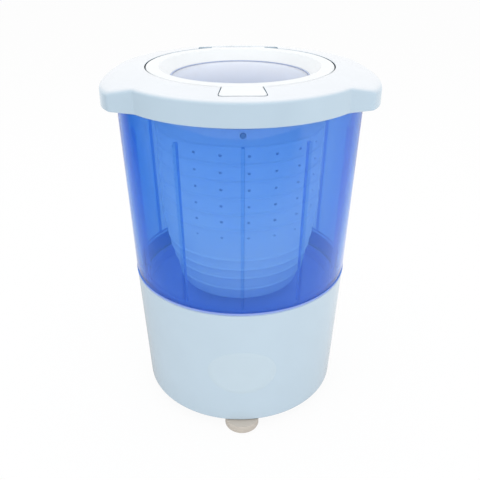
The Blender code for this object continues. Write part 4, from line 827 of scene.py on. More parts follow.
# The wall is open at both ends, so its faces are turned outwards before they get their thickness.
outward = sum(f.normal.dot(f.calc_center_median() * Vector((1, 1, 0))) for f in drum_mesh.faces)
if outward < 0.0:
    bmesh.ops.reverse_faces(drum_mesh, faces=drum_mesh.faces)

# A hole is a face of the wall, drawn in all round, taken out, and cut across its corners.
hole_pitch = 360 / HOLE_COLUMNS
drum_facet = 360 / DRUM_STEPS
hole_faces = []
for face in drum_mesh.faces:
    middle = face.calc_center_median()
    from_hole = (math.degrees(math.atan2(middle.y, middle.x)) - HOLE_START) % hole_pitch
    in_column = min(from_hole, hole_pitch - from_hole) < drum_facet / 4
    in_row = any(abs(middle.z / MM - row) < HOLE_RADIUS / 2 for row in HOLE_ROWS)
    if in_column and in_row:
        hole_faces.append(face)
bmesh.ops.inset_individual(drum_mesh, faces=hole_faces, thickness=HOLE_INSET * MM)
hole_corners = list({vert for face in hole_faces for vert in face.verts})
bmesh.ops.delete(drum_mesh, geom=hole_faces, context="FACES_ONLY")
bmesh.ops.bevel(
    drum_mesh,
    geom=hole_corners,
    offset=HOLE_CORNER * MM,
    offset_type="OFFSET",
    segments=2,
    profile=0.5,
    affect="VERTICES",
    material=-1,
)
drum = shape("perforated_drum", drum_mesh)
wall = drum.modifiers.new("wall", "SOLIDIFY")
wall.thickness = DRUM_WALL * MM
wall.offset = -1.0
wall.use_even_offset = True
settle(drum)
# Polypropylene, moulded: white and half matt, so that the tub's blue lies on it evenly.
white_pp = moulded("pp_white_moulded", DRUM_WHITE, roughness=0.4)
fit(drum, white_pp, "drum", "drum_plastic", "drum", angle=50.0)


# Drum's rim and hub nut. The rim is a ring of the same white plastic that holds the balance load and
# is pressed into the drum's mouth. The nut is a domed white moulding over the shaft's end.
RIM_PROFILE = [(88.0, 341.2), (88.0, 339.7), (86.0, 339.7), (85.7, 328.4), (77.0, 328.4), (77.0, 341.2)]
RIM_ROUND = 0.9
NUT_PROFILE = [
    (7.0, 163.6),
    (10.0, 160.6),
    (10.0, 154.6),
    (6.3, 154.6),
    (6.3, 159.9),
    (0.0, 159.9),
    (0.0, 163.6),
]
NUT_ROUND = 0.8
NUT_STEPS = 48
ABS_WHITE = "DFE2E4"

rim_mesh = soften(turned(RIM_PROFILE, SHELL_STEPS), RIM_ROUND)
fit(shape("balance_rim", rim_mesh), white_pp, "drum", "drum_plastic", "drum_rim")
# ABS, moulded and polished: clean white with a soft mirror.
white_abs = moulded("abs_white_polished", ABS_WHITE, roughness=0.22, grain_height=0.003)
nut_mesh = soften(turned(NUT_PROFILE, NUT_STEPS), NUT_ROUND, angle=30.0)
fit(shape("hub_cap_nut", nut_mesh), white_abs, "drum", "white_plastic", "hub_nut")


# Top cover. Pale blue ABS, moulded in one with an ear swept forward on each side to lift by, the recess
# that the lid lies in, the ledge it seats on, and the wells for its hinge and its lift tab.
COVER_Z = 352.4
LID_Z = 380.0
COVER_RISE = 4.0
COVER_RADIUS = 128.4
EAR_REACH = 15.45
EAR_ANGLE = 26.5
EAR_SWEEP_RADIUS = 60.0
EAR_FACE_ANGLE = 70.0
EAR_FACE_REACH = 111.7
EAR_CORNER = 7.0
EAR_FILLET = 7.0
EAR_DROP = 4.5
SHOULDER_RADIUS = 119.4
COVER_WALL = 2.6
COVER_ROUND = 3.4
COVER_LIP = 0.6
TOP_INSETS = (4.6, 6.4)
TOP_SHARES = (0.75, 0.5, 0.25)
RECESS_RADIUS = 95.5
RECESS_ROUND = 0.3
RECESS_BORDER = 8.0
LEDGE_Z = 367.4
LEDGE_UNDER = 364.4
THROAT_RADIUS = 76.0
THROAT_CUT = 0.8
WELL_SINK = 0.65
WELL_FLOOR = 1.5
WELL_BEHIND_RECESS = 1.3
WELL_BEHIND_THROAT = 1.1
POCKET_HALF = 45.0
POCKET_BACK = 106.36
POCKET_FLOOR = 366.4
POCKET_STEP = 367.7
POCKET_ROUND = 2.0
POCKET_OVERLAP = 1.1
HINGE_Y = 98.5
HINGE_Z = 374.5
PIN_RADIUS = 2.0
KNUCKLE_RADIUS = 4.6
KNUCKLE_ROOM = 1.0
LID_RADIUS = 94.4
TAB_REACH = 21.93
TAB_BACK_HALF = 17.6
TAB_FRONT_HALF = 20.6
TAB_CORNER = 4.5
TAB_SIDE_GAP = 0.7
TAB_FRONT_GAP = 1.6
TAB_WELL = 8.4
TAB_WELL_BACK = 4.5
TONGUE_Y = -91.2
TONGUE_SLOT = (13.0, 4.4, 12.0)
TONGUE_SLOT_FRONT = 0.5
TONGUE_SLOT_Z = 366.0
SWITCH_PLACE = (-64.35, 64.35)
SWITCH_HOLE_RADIUS = 2.8
SWITCH_HOLE_ENDS = (360.0, 370.0)
CUT_OVER = 4.0
OUTLINE_LINE_STEPS = 8
SIDEWAYS = Matrix(((0, 0, 1, 0), (1, 0, 0, 0), (0, 1, 0, 0), (0, 0, 0, 1)))  # x to y, y to z, depth to x
# Painted light: the near white given to faces that look up, for light falling from above.
COVER_TOP_PAINTED_LIGHT = "D8DCE1"
COVER_SIDE = "B7CAD8"
PAINTED_LIGHT_FACING = (0.2, 0.95)
# Painted shade: the dark grey laid on the recess's wall, for the shade in the gap round the lid.
GAP_SHADE_GREY = "343A42"
GAP_SHADE_INSET = 0.3
GAP_SHADE_REACH = 0.5
GAP_SHADE_TOP = 379.4
GAP_SHADE_FADE = (370.0, 376.0)


def cover_outline(inset):
    """The cover from above: a circle with an ear swept forward on each side.

    From the front, a fillet leads from the circle to the ear's flat front face, a corner to its long
    outer edge, and a straight line that touches both back to the circle.
    """
    sweep_reach = COVER_RADIUS + EAR_REACH - EAR_SWEEP_RADIUS
    sweep = on_circle(sweep_reach, -EAR_ANGLE, 0.0)
    leaving = math.degrees(math.acos((COVER_RADIUS - EAR_SWEEP_RADIUS) / sweep_reach)) - EAR_ANGLE
    towards_face = sweep_reach * math.cos(math.radians(EAR_FACE_ANGLE - EAR_ANGLE))
    corner_share = (EAR_FACE_REACH - EAR_CORNER - towards_face) / (EAR_SWEEP_RADIUS - EAR_CORNER)
    turning = math.degrees(math.acos(corner_share)) - EAR_FACE_ANGLE
    across, along, _ = on_circle(EAR_SWEEP_RADIUS - EAR_CORNER, turning, 0.0)
    corner = (sweep[0] + across, sweep[1] + along)
    fillet_reach = COVER_RADIUS + EAR_FILLET
    meeting = math.degrees(math.acos((EAR_FACE_REACH + EAR_FILLET) / fillet_reach)) - EAR_FACE_ANGLE
    fillet = on_circle(fillet_reach, meeting, 0.0)
    half = arc((0.0, 0.0), COVER_RADIUS - inset, -90.0, meeting, steps=18)
    half += arc(fillet, EAR_FILLET + inset, 180.0 + meeting, 180.0 - EAR_FACE_ANGLE, steps=5)[1:]
    half += arc(corner, EAR_CORNER - inset, -EAR_FACE_ANGLE, turning, steps=8)
    half += arc(sweep, EAR_SWEEP_RADIUS - inset, turning, leaving, steps=14)[1:]
    line_end = on_circle(COVER_RADIUS - inset, leaving, 0.0)
    start = half[-1]
    for step in range(1, OUTLINE_LINE_STEPS):
        share = step / OUTLINE_LINE_STEPS
        half.append(tuple(start[axis] + (line_end[axis] - start[axis]) * share for axis in (0, 1)))
    half += arc((0.0, 0.0), COVER_RADIUS - inset, leaving, 90.0, steps=28)
    return half + [(-x, y) for x, y in half[-2:0:-1]]


def cover_height(radius):
    """Height of the cover's top, which falls gently from the lid, and faster over an ear."""
    fall = COVER_RISE * (radius - RECESS_RADIUS) / (COVER_RADIUS - RECESS_RADIUS)
    return LID_Z - fall - EAR_DROP * (max(0.0, radius - COVER_RADIUS) / EAR_REACH) ** 2


def flat_ring(inset, height):
    """A level ring along the cover's outline."""
    return [(x, y, height) for x, y in cover_outline(inset)]


def top_ring(inset, drop):
    """A ring along the cover's outline that keeps a drop below the cover's top."""
    return [(x, y, cover_height(math.hypot(x, y)) - drop) for x, y in cover_outline(inset)]


def blended_ring(inset, share):
    """A ring on the cover's top, the share of the way from its shoulder out to an inset outline."""
    ring = []
    for x, y in cover_outline(inset):
        radius = SHOULDER_RADIUS + (math.hypot(x, y) - SHOULDER_RADIUS) * share
        azimuth = math.atan2(y, x)
        ring.append((radius * math.cos(azimuth), radius * math.sin(azimuth), cover_height(radius)))
    return ring


def round_ring(radius, height):
    """A round level ring, with its points at the same bearings as the outline's."""
    places = cover_outline(0.0)
    return [(x * radius / math.hypot(x, y), y * radius / math.hypot(x, y), height) for x, y in places]


def raised_shell(name, rings):
    """A closed shell: the first ring is drawn, and the others are extruded from it in turn."""
    bm = bmesh.new()
    first = [bm.verts.new(Vector(place) * MM) for place in rings[0]]
    loop = [bm.edges.new(pair) for pair in zip(first, first[1:] + first[:1])]
    verts = first
    for ring in rings[1:]:
        made = bmesh.ops.extrude_edge_only(bm, edges=loop)["geom"]
        loop = [item for item in made if isinstance(item, bmesh.types.BMEdge)]
        follower = {}
        for vert in (item for item in made if isinstance(item, bmesh.types.BMVert)):
            for edge in vert.link_edges:
                other = edge.other_vert(vert)
                if other in verts:
                    follower[verts.index(other)] = vert
        verts = [follower[index] for index in range(len(ring))]
        for vert, place in zip(verts, ring):
            vert.co = Vector(place) * MM
    last = [edge for edge in bm.edges if edge.is_boundary]
    bmesh.ops.bridge_loops(bm, edges=last)
    bmesh.ops.recalc_face_normals(bm, faces=bm.faces)
    return shape(name, bm)


def outlined(name, outline, depth, place):
    """A flat outline raised by a depth, both in millimetres, then placed by a matrix."""
    bm = bmesh.new()
    face = bm.faces.new([bm.verts.new((x * MM, y * MM, 0.0)) for x, y in outline])
    raised = bmesh.ops.extrude_face_region(bm, geom=[face])["geom"]
    upper = [item for item in raised if isinstance(item, bmesh.types.BMVert)]
    bmesh.ops.translate(bm, vec=(0.0, 0.0, depth * MM), verts=upper)
    bmesh.ops.recalc_face_normals(bm, faces=bm.faces)
    bmesh.ops.transform(bm, matrix=place, verts=bm.verts)
    return shape(name, bm)


def tab_outline(side, front, back_radius):
    """The lift tab from above, wider at its round-cornered front, grown at its sides and front."""
    front_y = -(LID_RADIUS + TAB_REACH) - front
    wide = TAB_FRONT_HALF + side
    right = arc((wide - TAB_CORNER, front_y + TAB_CORNER), TAB_CORNER, -90.0, 0.0, steps=8)
    outline = right + [(TAB_BACK_HALF + side, -back_radius)]
    return outline + [(-x, y) for x, y in outline[::-1]]


# The shell: up the outside, round the top edge, in over the top to the recess, down to the ledge and the
# throat, and back outwards underneath.
cover_rings = [flat_ring(COVER_LIP, COVER_Z), flat_ring(0.0, COVER_Z + COVER_LIP)]
for inset, drop in arc((COVER_ROUND, COVER_ROUND), COVER_ROUND, 180.0, 270.0, steps=7):
    cover_rings.append(top_ring(inset, drop))
cover_rings += [top_ring(inset, 0.0) for inset in TOP_INSETS]
cover_rings += [blended_ring(TOP_INSETS[-1], share) for share in TOP_SHARES]
for radius in (SHOULDER_RADIUS, RECESS_RADIUS + RECESS_BORDER):
    cover_rings.append(round_ring(radius, cover_height(radius)))
for out, drop in arc((RECESS_ROUND, RECESS_ROUND), RECESS_ROUND, 270.0, 180.0, steps=3):
    cover_rings.append(round_ring(RECESS_RADIUS + out, LID_Z - drop))
cover_rings += [
    round_ring(RECESS_RADIUS, LEDGE_Z),
    round_ring(THROAT_RADIUS + THROAT_CUT, LEDGE_Z),
    round_ring(THROAT_RADIUS, LEDGE_Z - THROAT_CUT),
    round_ring(THROAT_RADIUS, LEDGE_UNDER),
    round_ring(RECESS_RADIUS + COVER_WALL, LEDGE_UNDER),
    round_ring(RECESS_RADIUS + COVER_WALL, cover_height(RECESS_RADIUS + COVER_WALL) - COVER_WALL),
    top_ring(COVER_WALL + COVER_ROUND, COVER_WALL),
    top_ring(COVER_WALL, COVER_WALL + COVER_ROUND),
    flat_ring(COVER_WALL, COVER_Z),
]
cover = raised_shell("eared_cover", cover_rings)

# Solid wells under the hinge and the lift tab, which stop just below the cover's skin.
well_half = POCKET_HALF + COVER_WALL
well_back = POCKET_BACK + COVER_WALL
well_side = [
    (THROAT_RADIUS + WELL_BEHIND_THROAT, LEDGE_UNDER),
    (well_back, LEDGE_UNDER),
    (well_back, cover_height(math.hypot(well_back, well_half)) - WELL_SINK),
    (RECESS_RADIUS + WELL_BEHIND_RECESS, cover_height(math.hypot(RECESS_RADIUS, well_half)) - WELL_SINK),
    (RECESS_RADIUS + WELL_BEHIND_RECESS, LEDGE_UNDER + WELL_FLOOR),
    (THROAT_RADIUS + WELL_BEHIND_THROAT, LEDGE_UNDER + WELL_FLOOR),
]
tab_floor = LID_Z - TAB_WELL - COVER_WALL
tab_well_front = LID_RADIUS + TAB_REACH + TAB_FRONT_GAP + COVER_WALL
tab_well_top = cover_height(math.hypot(tab_well_front, TAB_FRONT_HALF)) - WELL_SINK
tab_well_outline = tab_outline(COVER_WALL + TAB_SIDE_GAP, COVER_WALL + TAB_FRONT_GAP, RECESS_RADIUS)
carve(
    cover,
    outlined("hinge_well", well_side, 2 * well_half, moved(-well_half, 0.0, 0.0) @ SIDEWAYS),
    outlined("tab_well", tab_well_outline, tab_well_top - tab_floor, moved(0.0, 0.0, tab_floor)),
    operation="UNION",
)

# The hinge's pocket and pin bore, the tab's recess, the slot for the tongue and the switch's hole.
rim_back = math.sqrt(RECESS_RADIUS**2 - POCKET_HALF**2) - POCKET_OVERLAP
barrel_front = HINGE_Y - KNUCKLE_RADIUS - KNUCKLE_ROOM
pocket_lip = (POCKET_BACK + POCKET_ROUND, cover_height(POCKET_BACK + POCKET_ROUND) - POCKET_ROUND)
pocket_side = [
    (barrel_front, POCKET_FLOOR),
    (POCKET_BACK, POCKET_FLOOR),
    *arc(pocket_lip, POCKET_ROUND, 180.0, 90.0, steps=5),
    (POCKET_BACK + POCKET_ROUND, LID_Z + CUT_OVER),
    (rim_back, LID_Z + CUT_OVER),
    (rim_back, POCKET_STEP),
    (barrel_front, POCKET_STEP),
]
pin_half = POCKET_HALF + CUT_OVER
pin_ends = (-pin_half, HINGE_Y, HINGE_Z), (pin_half, HINGE_Y, HINGE_Z)
tab_recess = tab_outline(TAB_SIDE_GAP, TAB_FRONT_GAP, LID_RADIUS - TAB_WELL_BACK)
slot_place = moved(0.0, TONGUE_Y - TONGUE_SLOT_FRONT, TONGUE_SLOT_Z)
switch_ends = (*SWITCH_PLACE, SWITCH_HOLE_ENDS[0]), (*SWITCH_PLACE, SWITCH_HOLE_ENDS[1])
carve(
    cover,
    outlined("hinge_pocket", pocket_side, 2 * POCKET_HALF, moved(-POCKET_HALF, 0.0, 0.0) @ SIDEWAYS),
    rod("pin_bore", *pin_ends, PIN_RADIUS + GAP),
    outlined("tab_recess", tab_recess, TAB_WELL + CUT_OVER, moved(0.0, 0.0, LID_Z - TAB_WELL)),
    block("tongue_slot", TONGUE_SLOT, slot_place),
    rod("switch_hole", *switch_ends, SWITCH_HOLE_RADIUS),
)

# ABS, moulded and polished: pale blue down the sides, and painted nearly white on the faces that look up,
# as painted light from above. A band of painted shade, fading downwards, darkens the recess's wall where the
# gap round the lid lies in shade, so that a fine dark line rings the closed lid.
cover_abs = moulded("pale_blue_abs_painted_top_light_and_gap_shade", COVER_SIDE, roughness=0.14, grain_height=0.002)
skin = cover_abs.node_tree
skin_surface = next(node for node in skin.nodes if node.type == "BSDF_PRINCIPLED")
side_colour = skin_surface.inputs["Base Color"].links[0].from_socket
skin_normal = add_node(skin, "ShaderNodeNewGeometry").outputs["Normal"]
upward = add_node(skin, "ShaderNodeSeparateXYZ", None, {"Vector": skin_normal}).outputs["Z"]
lit = {
    "interpolation_type": "SMOOTHSTEP",
    "From Min": PAINTED_LIGHT_FACING[0],
    "From Max": PAINTED_LIGHT_FACING[1],
}
# Painted light: faces are painted towards near white the more they look up.
painted_top_light = add_node(skin, "ShaderNodeMapRange", lit, {"Value": upward}).outputs["Result"]
painted_top_colour = mottled(skin, COVER_TOP_PAINTED_LIGHT, grain(skin, CLOUD_SIZE))
top_light_links = {0: painted_top_light, 6: side_colour, 7: painted_top_colour}
colour_with_top_light = add_node(skin, "ShaderNodeMix", {"data_type": "RGBA"}, top_light_links).outputs[2]
skin_place = add_node(skin, "ShaderNodeTexCoord").outputs["Object"]
flattened = {"operation": "MULTIPLY", 1: (1.0, 1.0, 0.0)}
flat_place = add_node(skin, "ShaderNodeVectorMath", flattened, {0: skin_place}).outputs[0]
from_axis = add_node(skin, "ShaderNodeVectorMath", {"operation": "LENGTH"}, {0: flat_place}).outputs["Value"]
# Painted shade: a band on the recess's wall, under its top edge and fading downwards, for the shaded gap
# round the lid.
wall_band = {"operation": "COMPARE", 1: (RECESS_RADIUS - GAP_SHADE_INSET) * MM, 2: GAP_SHADE_REACH * MM}
on_wall = add_node(skin, "ShaderNodeMath", wall_band, {0: from_axis}).outputs[0]
skin_height = add_node(skin, "ShaderNodeSeparateXYZ", None, {"Vector": skin_place}).outputs["Z"]
under_edge = {"operation": "LESS_THAN", 1: GAP_SHADE_TOP * MM}
below_edge = add_node(skin, "ShaderNodeMath", under_edge, {0: skin_height}).outputs[0]
fade = {"From Min": GAP_SHADE_FADE[0] * MM, "From Max": GAP_SHADE_FADE[1] * MM}
fading = add_node(skin, "ShaderNodeMapRange", fade, {"Value": skin_height}).outputs["Result"]
band = add_node(skin, "ShaderNodeMath", {"operation": "MULTIPLY"}, {0: on_wall, 1: below_edge}).outputs[0]
painted_gap_shade = add_node(skin, "ShaderNodeMath", {"operation": "MULTIPLY"}, {0: band, 1: fading}).outputs[0]
gap_shade_colours = {"data_type": "RGBA", 7: linear(GAP_SHADE_GREY)}
colour_with_gap_shade = add_node(skin, "ShaderNodeMix", gap_shade_colours, {0: painted_gap_shade, 6: colour_with_top_light}).outputs[2]
skin.links.new(colour_with_gap_shade, skin_surface.inputs["Base Color"])
fit(cover, cover_abs, "housing", "pale_blue_plastic", "top_cover")


# Throat collar. A tapered guard of the base's pale blue ABS, moulded and clipped under the cover's
# throat, that leads laundry into the drum.
COLLAR_PROFILE = [(85.0, 364.1), (85.0, 361.9), (76.0, 361.9), (73.6, 343.6), (71.4, 343.6), (73.8, 364.1)]
COLLAR_ROUND = 0.6

collar_mesh = soften(turned(COLLAR_PROFILE, SHELL_STEPS), COLLAR_ROUND)
fit(shape("throat_guard", collar_mesh), pale_blue_abs, "housing", "pale_blue_plastic", "throat_collar")


# Lid rim. White polished ABS with a flat rim, a bevel down to the window, a lift tab at the front,
# a catch tongue under it, and two knuckles that turn on the pin at the back.
LID_STEPS = 192
LID_RIM = 81.3
LID_EDGE = 1.8
LID_ROUND = 1.4
LID_BOTTOM = 368.0
GROOVE_OUTER = 88.3
GROOVE_INNER = 83.7
GROOVE_TOP = 370.7
RIM_CUT = (0.5, 0.8)
RIM_BACK = 1.0
WINDOW_RADIUS = 70.6
WINDOW_SEAT = 369.0
WINDOW_FLANGE = 3.2
SLOPE_DEPTH = 10.1
TAB_THICKNESS = 3.4
TAB_ROOT = 89.9
TAB_PROUD = 0.5
TAB_ROUND = 0.9
KNUCKLE_SPANS = ((-30.0, -14.0), (14.0, 30.0))
KNUCKLE_BORE_HALF = 34.0
WEB_FRONT = 88.2
WEB_MIDDLE = 373.4
WEB_HEIGHT = 10.8
TONGUE_SIZE = (12.0, 2.4, 12.4)
TONGUE_MIDDLE = 364.2

lid_profile = [
    (LID_RADIUS - LID_EDGE, LID_Z),
    *arc((LID_RADIUS - LID_ROUND, LID_Z - LID_ROUND), LID_ROUND, 75.0, 0.0, steps=4),
    (LID_RADIUS, LID_BOTTOM),
    (GROOVE_OUTER, LID_BOTTOM),
    (GROOVE_OUTER, GROOVE_TOP),
    (GROOVE_INNER, GROOVE_TOP),
    (GROOVE_INNER, LID_BOTTOM),
    (WINDOW_RADIUS + WINDOW_FLANGE, LID_BOTTOM),
    (WINDOW_RADIUS + WINDOW_FLANGE, WINDOW_SEAT),
    (WINDOW_RADIUS, WINDOW_SEAT),
    (WINDOW_RADIUS, LID_Z - SLOPE_DEPTH),
    (LID_RIM - RIM_CUT[0], LID_Z - RIM_CUT[1]),
    *arc((LID_RIM + RIM_BACK, LID_Z - LID_ROUND), LID_ROUND, 125.0, 95.0, steps=3),
]
lid = shape("lid_frame", turned(lid_profile, LID_STEPS))
tab_front = LID_RADIUS + TAB_REACH
tab_tilt = math.atan2(LID_Z - GAP - cover_height(tab_front) - TAB_PROUD, tab_front - TAB_ROOT)
tab_bend = moved(0.0, -TAB_ROOT, LID_Z - GAP - TAB_THICKNESS)
tab_place = tab_bend @ Matrix.Rotation(tab_tilt, 4, "X") @ moved(0.0, TAB_ROOT, 0.0)
tab = outlined("tab", tab_outline(0.0, 0.0, TAB_ROOT), TAB_THICKNESS, tab_place)
tab_edges = tab.modifiers.new("round", "BEVEL")
tab_edges.width = TAB_ROUND * MM
tab_edges.segments = 3
tab_edges.limit_method = "ANGLE"
tab_edges.angle_limit = math.radians(50.0)
settle(tab)
for low, high in KNUCKLE_SPANS:
    barrel = rod("barrel", (low, HINGE_Y, HINGE_Z), (high, HINGE_Y, HINGE_Z), KNUCKLE_RADIUS)
    web_place = moved((low + high) / 2, (HINGE_Y + WEB_FRONT) / 2, WEB_MIDDLE)
    web = block("web", (high - low, HINGE_Y - WEB_FRONT, WEB_HEIGHT), web_place)
    carve(lid, barrel, web, operation="UNION")
tongue = block("tongue", TONGUE_SIZE, moved(0.0, TONGUE_Y, TONGUE_MIDDLE))
carve(lid, tab, tongue, operation="UNION")
bore_ends = (-KNUCKLE_BORE_HALF, HINGE_Y, HINGE_Z), (KNUCKLE_BORE_HALF, HINGE_Y, HINGE_Z)
carve(lid, rod("knuckle_bore", *bore_ends, PIN_RADIUS + GAP))
fit(lid, white_abs, "lid", "white_plastic", "lid_ring")


# Lid window and its seals. A shallow dome of clear polycarbonate held under the rim's lip, with a thin
# blue-grey silicone bead round its edge, coloured to draw the shaded gap there as painted shade, and a black
# rubber gasket in the groove below the rim.
WINDOW_CROWN = 5.0
WINDOW_WALL = 1.8
WINDOW_EDGE = 70.1
WINDOW_OUTER = 73.3
WINDOW_Z = 368.7
DOME_STEPS = 16
BEAD_PROFILE = [(70.5, 369.7), (70.5, 368.75), (69.3, 368.95), (69.3, 369.5)]
BEAD_ROUND = 0.2
GASKET_PROFILE = [(88.0, 370.1), (88.0, 367.7), (84.0, 367.7), (84.0, 370.1)]
GASKET_ROUND = 0.6
PC_IOR = 1.585
PC_ROUGHNESS = 0.05
WINDOW_TINT = "B8CCEA"
WINDOW_HAZE = "E2E6F0"
WINDOW_HAZE_SHARE = 0.24
# Painted reflection: the window's haze grows from its front to its back.
HAZE_SHEEN_PLACE = (-60.0, 70.0)
HAZE_SHEEN_SHARE = 0.58
# Painted shade: the blue-grey of the bead, which draws the shaded gap between the rim and the window.
WINDOW_GAP_SHADE_BLUE = "ADBAD8"

dome = [
    (WINDOW_EDGE * step / DOME_STEPS, WINDOW_Z + WINDOW_CROWN * (1 - (step / DOME_STEPS) ** 2))
    for step in range(DOME_STEPS + 1)
]
under = [(radius, height - WINDOW_WALL) for radius, height in dome[::-1]]
window_rim = [(WINDOW_OUTER, WINDOW_Z), (WINDOW_OUTER, WINDOW_Z - WINDOW_WALL)]
window_mesh = turned(dome + window_rim + under, SHELL_STEPS)

# Polycarbonate, moulded: a faint blue-grey tint and a mirror like glass. Its haze is painted thicker towards
# the hinge, a painted reflection of the bright backdrop that the glass mirrors there, so the drum fades from
# view there.
clear_pc, *_, window_hazy = clear_plastic(
    "polycarbonate_clear", WINDOW_TINT, WINDOW_HAZE, WINDOW_HAZE_SHARE, PC_IOR, PC_ROUGHNESS
)
pane = clear_pc.node_tree
pane_place = add_node(pane, "ShaderNodeTexCoord").outputs["Object"]
towards_hinge = add_node(pane, "ShaderNodeSeparateXYZ", None, {"Vector": pane_place}).outputs["Y"]
# Painted reflection: haze grows towards the hinge, where the glass mirrors the bright backdrop.
painted_sheen_range = {
    "From Min": HAZE_SHEEN_PLACE[0] * MM,
    "From Max": HAZE_SHEEN_PLACE[1] * MM,
    "To Min": WINDOW_HAZE_SHARE,
    "To Max": HAZE_SHEEN_SHARE,
}
painted_sheen = add_node(pane, "ShaderNodeMapRange", painted_sheen_range, {"Value": towards_hinge}).outputs["Result"]
pane.links.new(painted_sheen, window_hazy.inputs[0])
fit(shape("lid_dome", window_mesh), clear_pc, "lid", "clear_plastic", "lid_window")
# Silicone, moulded: a soft satin blue-grey line round the window, partly painted shade for the gap between
# the rim and the window.
gap_shade_silicone = moulded("silicone_blue_grey_gap_shade", WINDOW_GAP_SHADE_BLUE, roughness=0.4, grain_mm=0.7, grain_height=0.004)
bead_mesh = soften(turned(BEAD_PROFILE, SHELL_STEPS), BEAD_ROUND)
fit(shape("window_bead", bead_mesh), gap_shade_silicone, "lid", "black_rubber")
gasket_mesh = soften(turned(GASKET_PROFILE, SHELL_STEPS), GASKET_ROUND)
fit(shape("lid_seal", gasket_mesh), black_rubber, "lid", "black_rubber", "lid_gasket")


# Hinge pin, catch clip and lid switch, in the cover. The pin and the clip, which holds the lid's tongue,
# are ground steel. The switch is a small box of grey PBT, and the lid holds its white plunger down.
dress(ground_steel, "lid_hinge_pin", "catch_clip")
dress(grey_pbt, "lid_switch")
dress(white_abs, "switch_plunger")


# Studio. A wide pale floor, which stays near white to the camera but keeps the object's soft shadow,
# a broad soft light from above, lower ones at each side and in front, and the photograph's camera.
FLOOR_SIZE = 12.0
PAPER_WHITE = "F1F1F1"
AIR_WHITE = "FFFFFF"
GLOW_SHARE = 0.93
ROOM_AXIS = (0.6, 0.8, 0.0)
ROOM_NEAR = -0.5
ROOM_FAR = 0.3
ROOM_DIM = 0.05
ROOM_BRIGHT = 1.0
WORLD_LIGHT = 0.85
SOFTBOX_AIM = (0.0, 0.0, 0.2)
SOFTBOXES = {  # place, power, width and height
    "overhead_softbox": ((0.0, 0.1, 1.6), 9.0, 1.4, 1.4),
    "right_softbox": ((1.3, -1.1, 0.55), 3.8, 0.9, 1.2),
    "left_softbox": ((-1.4, -0.9, 0.5), 3.5, 0.9, 1.2),
    "front_softbox": ((0.1, -1.6, 0.5), 2.4, 1.2, 0.6),
}
CAMERA_DISTANCE = 630.8
CAMERA_HEIGHT = 508.8
CAMERA_TURN = -1.2
CAMERA_PITCH = 62.5
CAMERA_LENS = 46.17
SENSOR_WIDTH = 36.0

# The floor's paper glows to the camera and through clear plastic. In a mirror it shows a room that is dim
# at the front left and bright at the back right, which gives the tub's polished wall its shading.
scene = bpy.context.scene
floor_mesh = bmesh.new()
bmesh.ops.create_grid(floor_mesh, x_segments=1, y_segments=1, size=FLOOR_SIZE)
floor = shape("studio_floor", floor_mesh)
floor_paint, paint, paint_output = new_material("floor_paper_white")
rays = add_node(paint, "ShaderNodeLightPath").outputs
seen_links = {0: rays["Is Camera Ray"], 1: rays["Is Transmission Ray"]}
seen = add_node(paint, "ShaderNodeMath", {"operation": "ADD", "use_clamp": True}, seen_links).outputs[0]
glow_share = add_node(paint, "ShaderNodeMath", {"operation": "MULTIPLY", 1: GLOW_SHARE}, {0: seen}).outputs[0]
paper = add_node(paint, "ShaderNodeBsdfDiffuse", {"Color": linear(PAPER_WHITE)})
glow = add_node(paint, "ShaderNodeEmission")
paper_links = {0: glow_share, 1: paper.outputs["BSDF"], 2: glow.outputs["Emission"]}
lit_paper = add_node(paint, "ShaderNodeMixShader", None, paper_links).outputs["Shader"]
floor_place = add_node(paint, "ShaderNodeTexCoord").outputs["Object"]
away = add_node(paint, "ShaderNodeVectorMath", {"operation": "DOT_PRODUCT", 1: ROOM_AXIS}, {0: floor_place})
room = {"From Min": ROOM_NEAR, "From Max": ROOM_FAR, "To Min": ROOM_DIM, "To Max": ROOM_BRIGHT}
room_level = add_node(paint, "ShaderNodeMapRange", room, {"Value": away.outputs["Value"]}).outputs["Result"]
mirrored = add_node(paint, "ShaderNodeEmission", None, {"Strength": room_level})
mirror_links = {0: rays["Is Glossy Ray"], 1: rays["Is Transmission Ray"]}
in_mirror = add_node(paint, "ShaderNodeMath", {"operation": "SUBTRACT", "use_clamp": True}, mirror_links)
room_links = {0: in_mirror.outputs[0], 1: lit_paper, 2: mirrored.outputs["Emission"]}
floor_shader = add_node(paint, "ShaderNodeMixShader", None, room_links).outputs["Shader"]
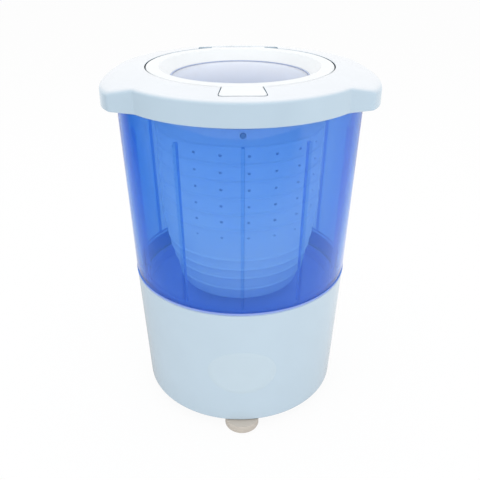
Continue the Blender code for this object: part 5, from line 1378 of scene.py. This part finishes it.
paint.links.new(floor_shader, paint_output.inputs["Surface"])
floor.data.materials.append(floor_paint)

# The air is white to the camera, in mirrors and through clear plastic, and a little dimmer as a light.
world = bpy.data.worlds.new("studio_air")
scene.world = world
world.use_nodes = True
sky = world.node_tree
sky.nodes.clear()
rays = add_node(sky, "ShaderNodeLightPath").outputs
direct_links = {0: rays["Is Camera Ray"], 1: rays["Is Glossy Ray"]}
direct = add_node(sky, "ShaderNodeMath", {"operation": "ADD", "use_clamp": True}, direct_links).outputs[0]
seen_links = {0: direct, 1: rays["Is Transmission Ray"]}
seen = add_node(sky, "ShaderNodeMath", {"operation": "ADD", "use_clamp": True}, seen_links).outputs[0]
level = add_node(sky, "ShaderNodeMapRange", {"To Min": WORLD_LIGHT, "To Max": 1.0}, {"Value": seen})
air_links = {"Strength": level.outputs["Result"]}
air = add_node(sky, "ShaderNodeBackground", {"Color": linear(AIR_WHITE)}, air_links)
add_node(sky, "ShaderNodeOutputWorld", None, {"Surface": air.outputs["Background"]})

for lamp_name, (lamp_place, power, width, height) in SOFTBOXES.items():
    lamp = bpy.data.lights.new(lamp_name, "AREA")
    lamp.shape = "RECTANGLE"
    lamp.size = width
    lamp.size_y = height
    lamp.energy = power
    softbox = bpy.data.objects.new(lamp_name, lamp)
    softbox.location = lamp_place
    towards = Vector(SOFTBOX_AIM) - Vector(lamp_place)
    softbox.rotation_euler = towards.to_track_quat("-Z", "Y").to_euler()
    softbox.visible_glossy = False
    scene.collection.objects.link(softbox)

camera_data = bpy.data.cameras.new("photo_camera")
camera_data.lens = CAMERA_LENS
camera_data.sensor_width = SENSOR_WIDTH
camera = bpy.data.objects.new("photo_camera", camera_data)
turn = math.radians(CAMERA_TURN)
camera.location = (
    CAMERA_DISTANCE * MM * math.sin(turn),
    -CAMERA_DISTANCE * MM * math.cos(turn),
    CAMERA_HEIGHT * MM,
)
camera.rotation_euler = (math.radians(CAMERA_PITCH), 0.0, turn)
scene.collection.objects.link(camera)
scene.camera = camera
scene.view_settings.view_transform = "Standard"
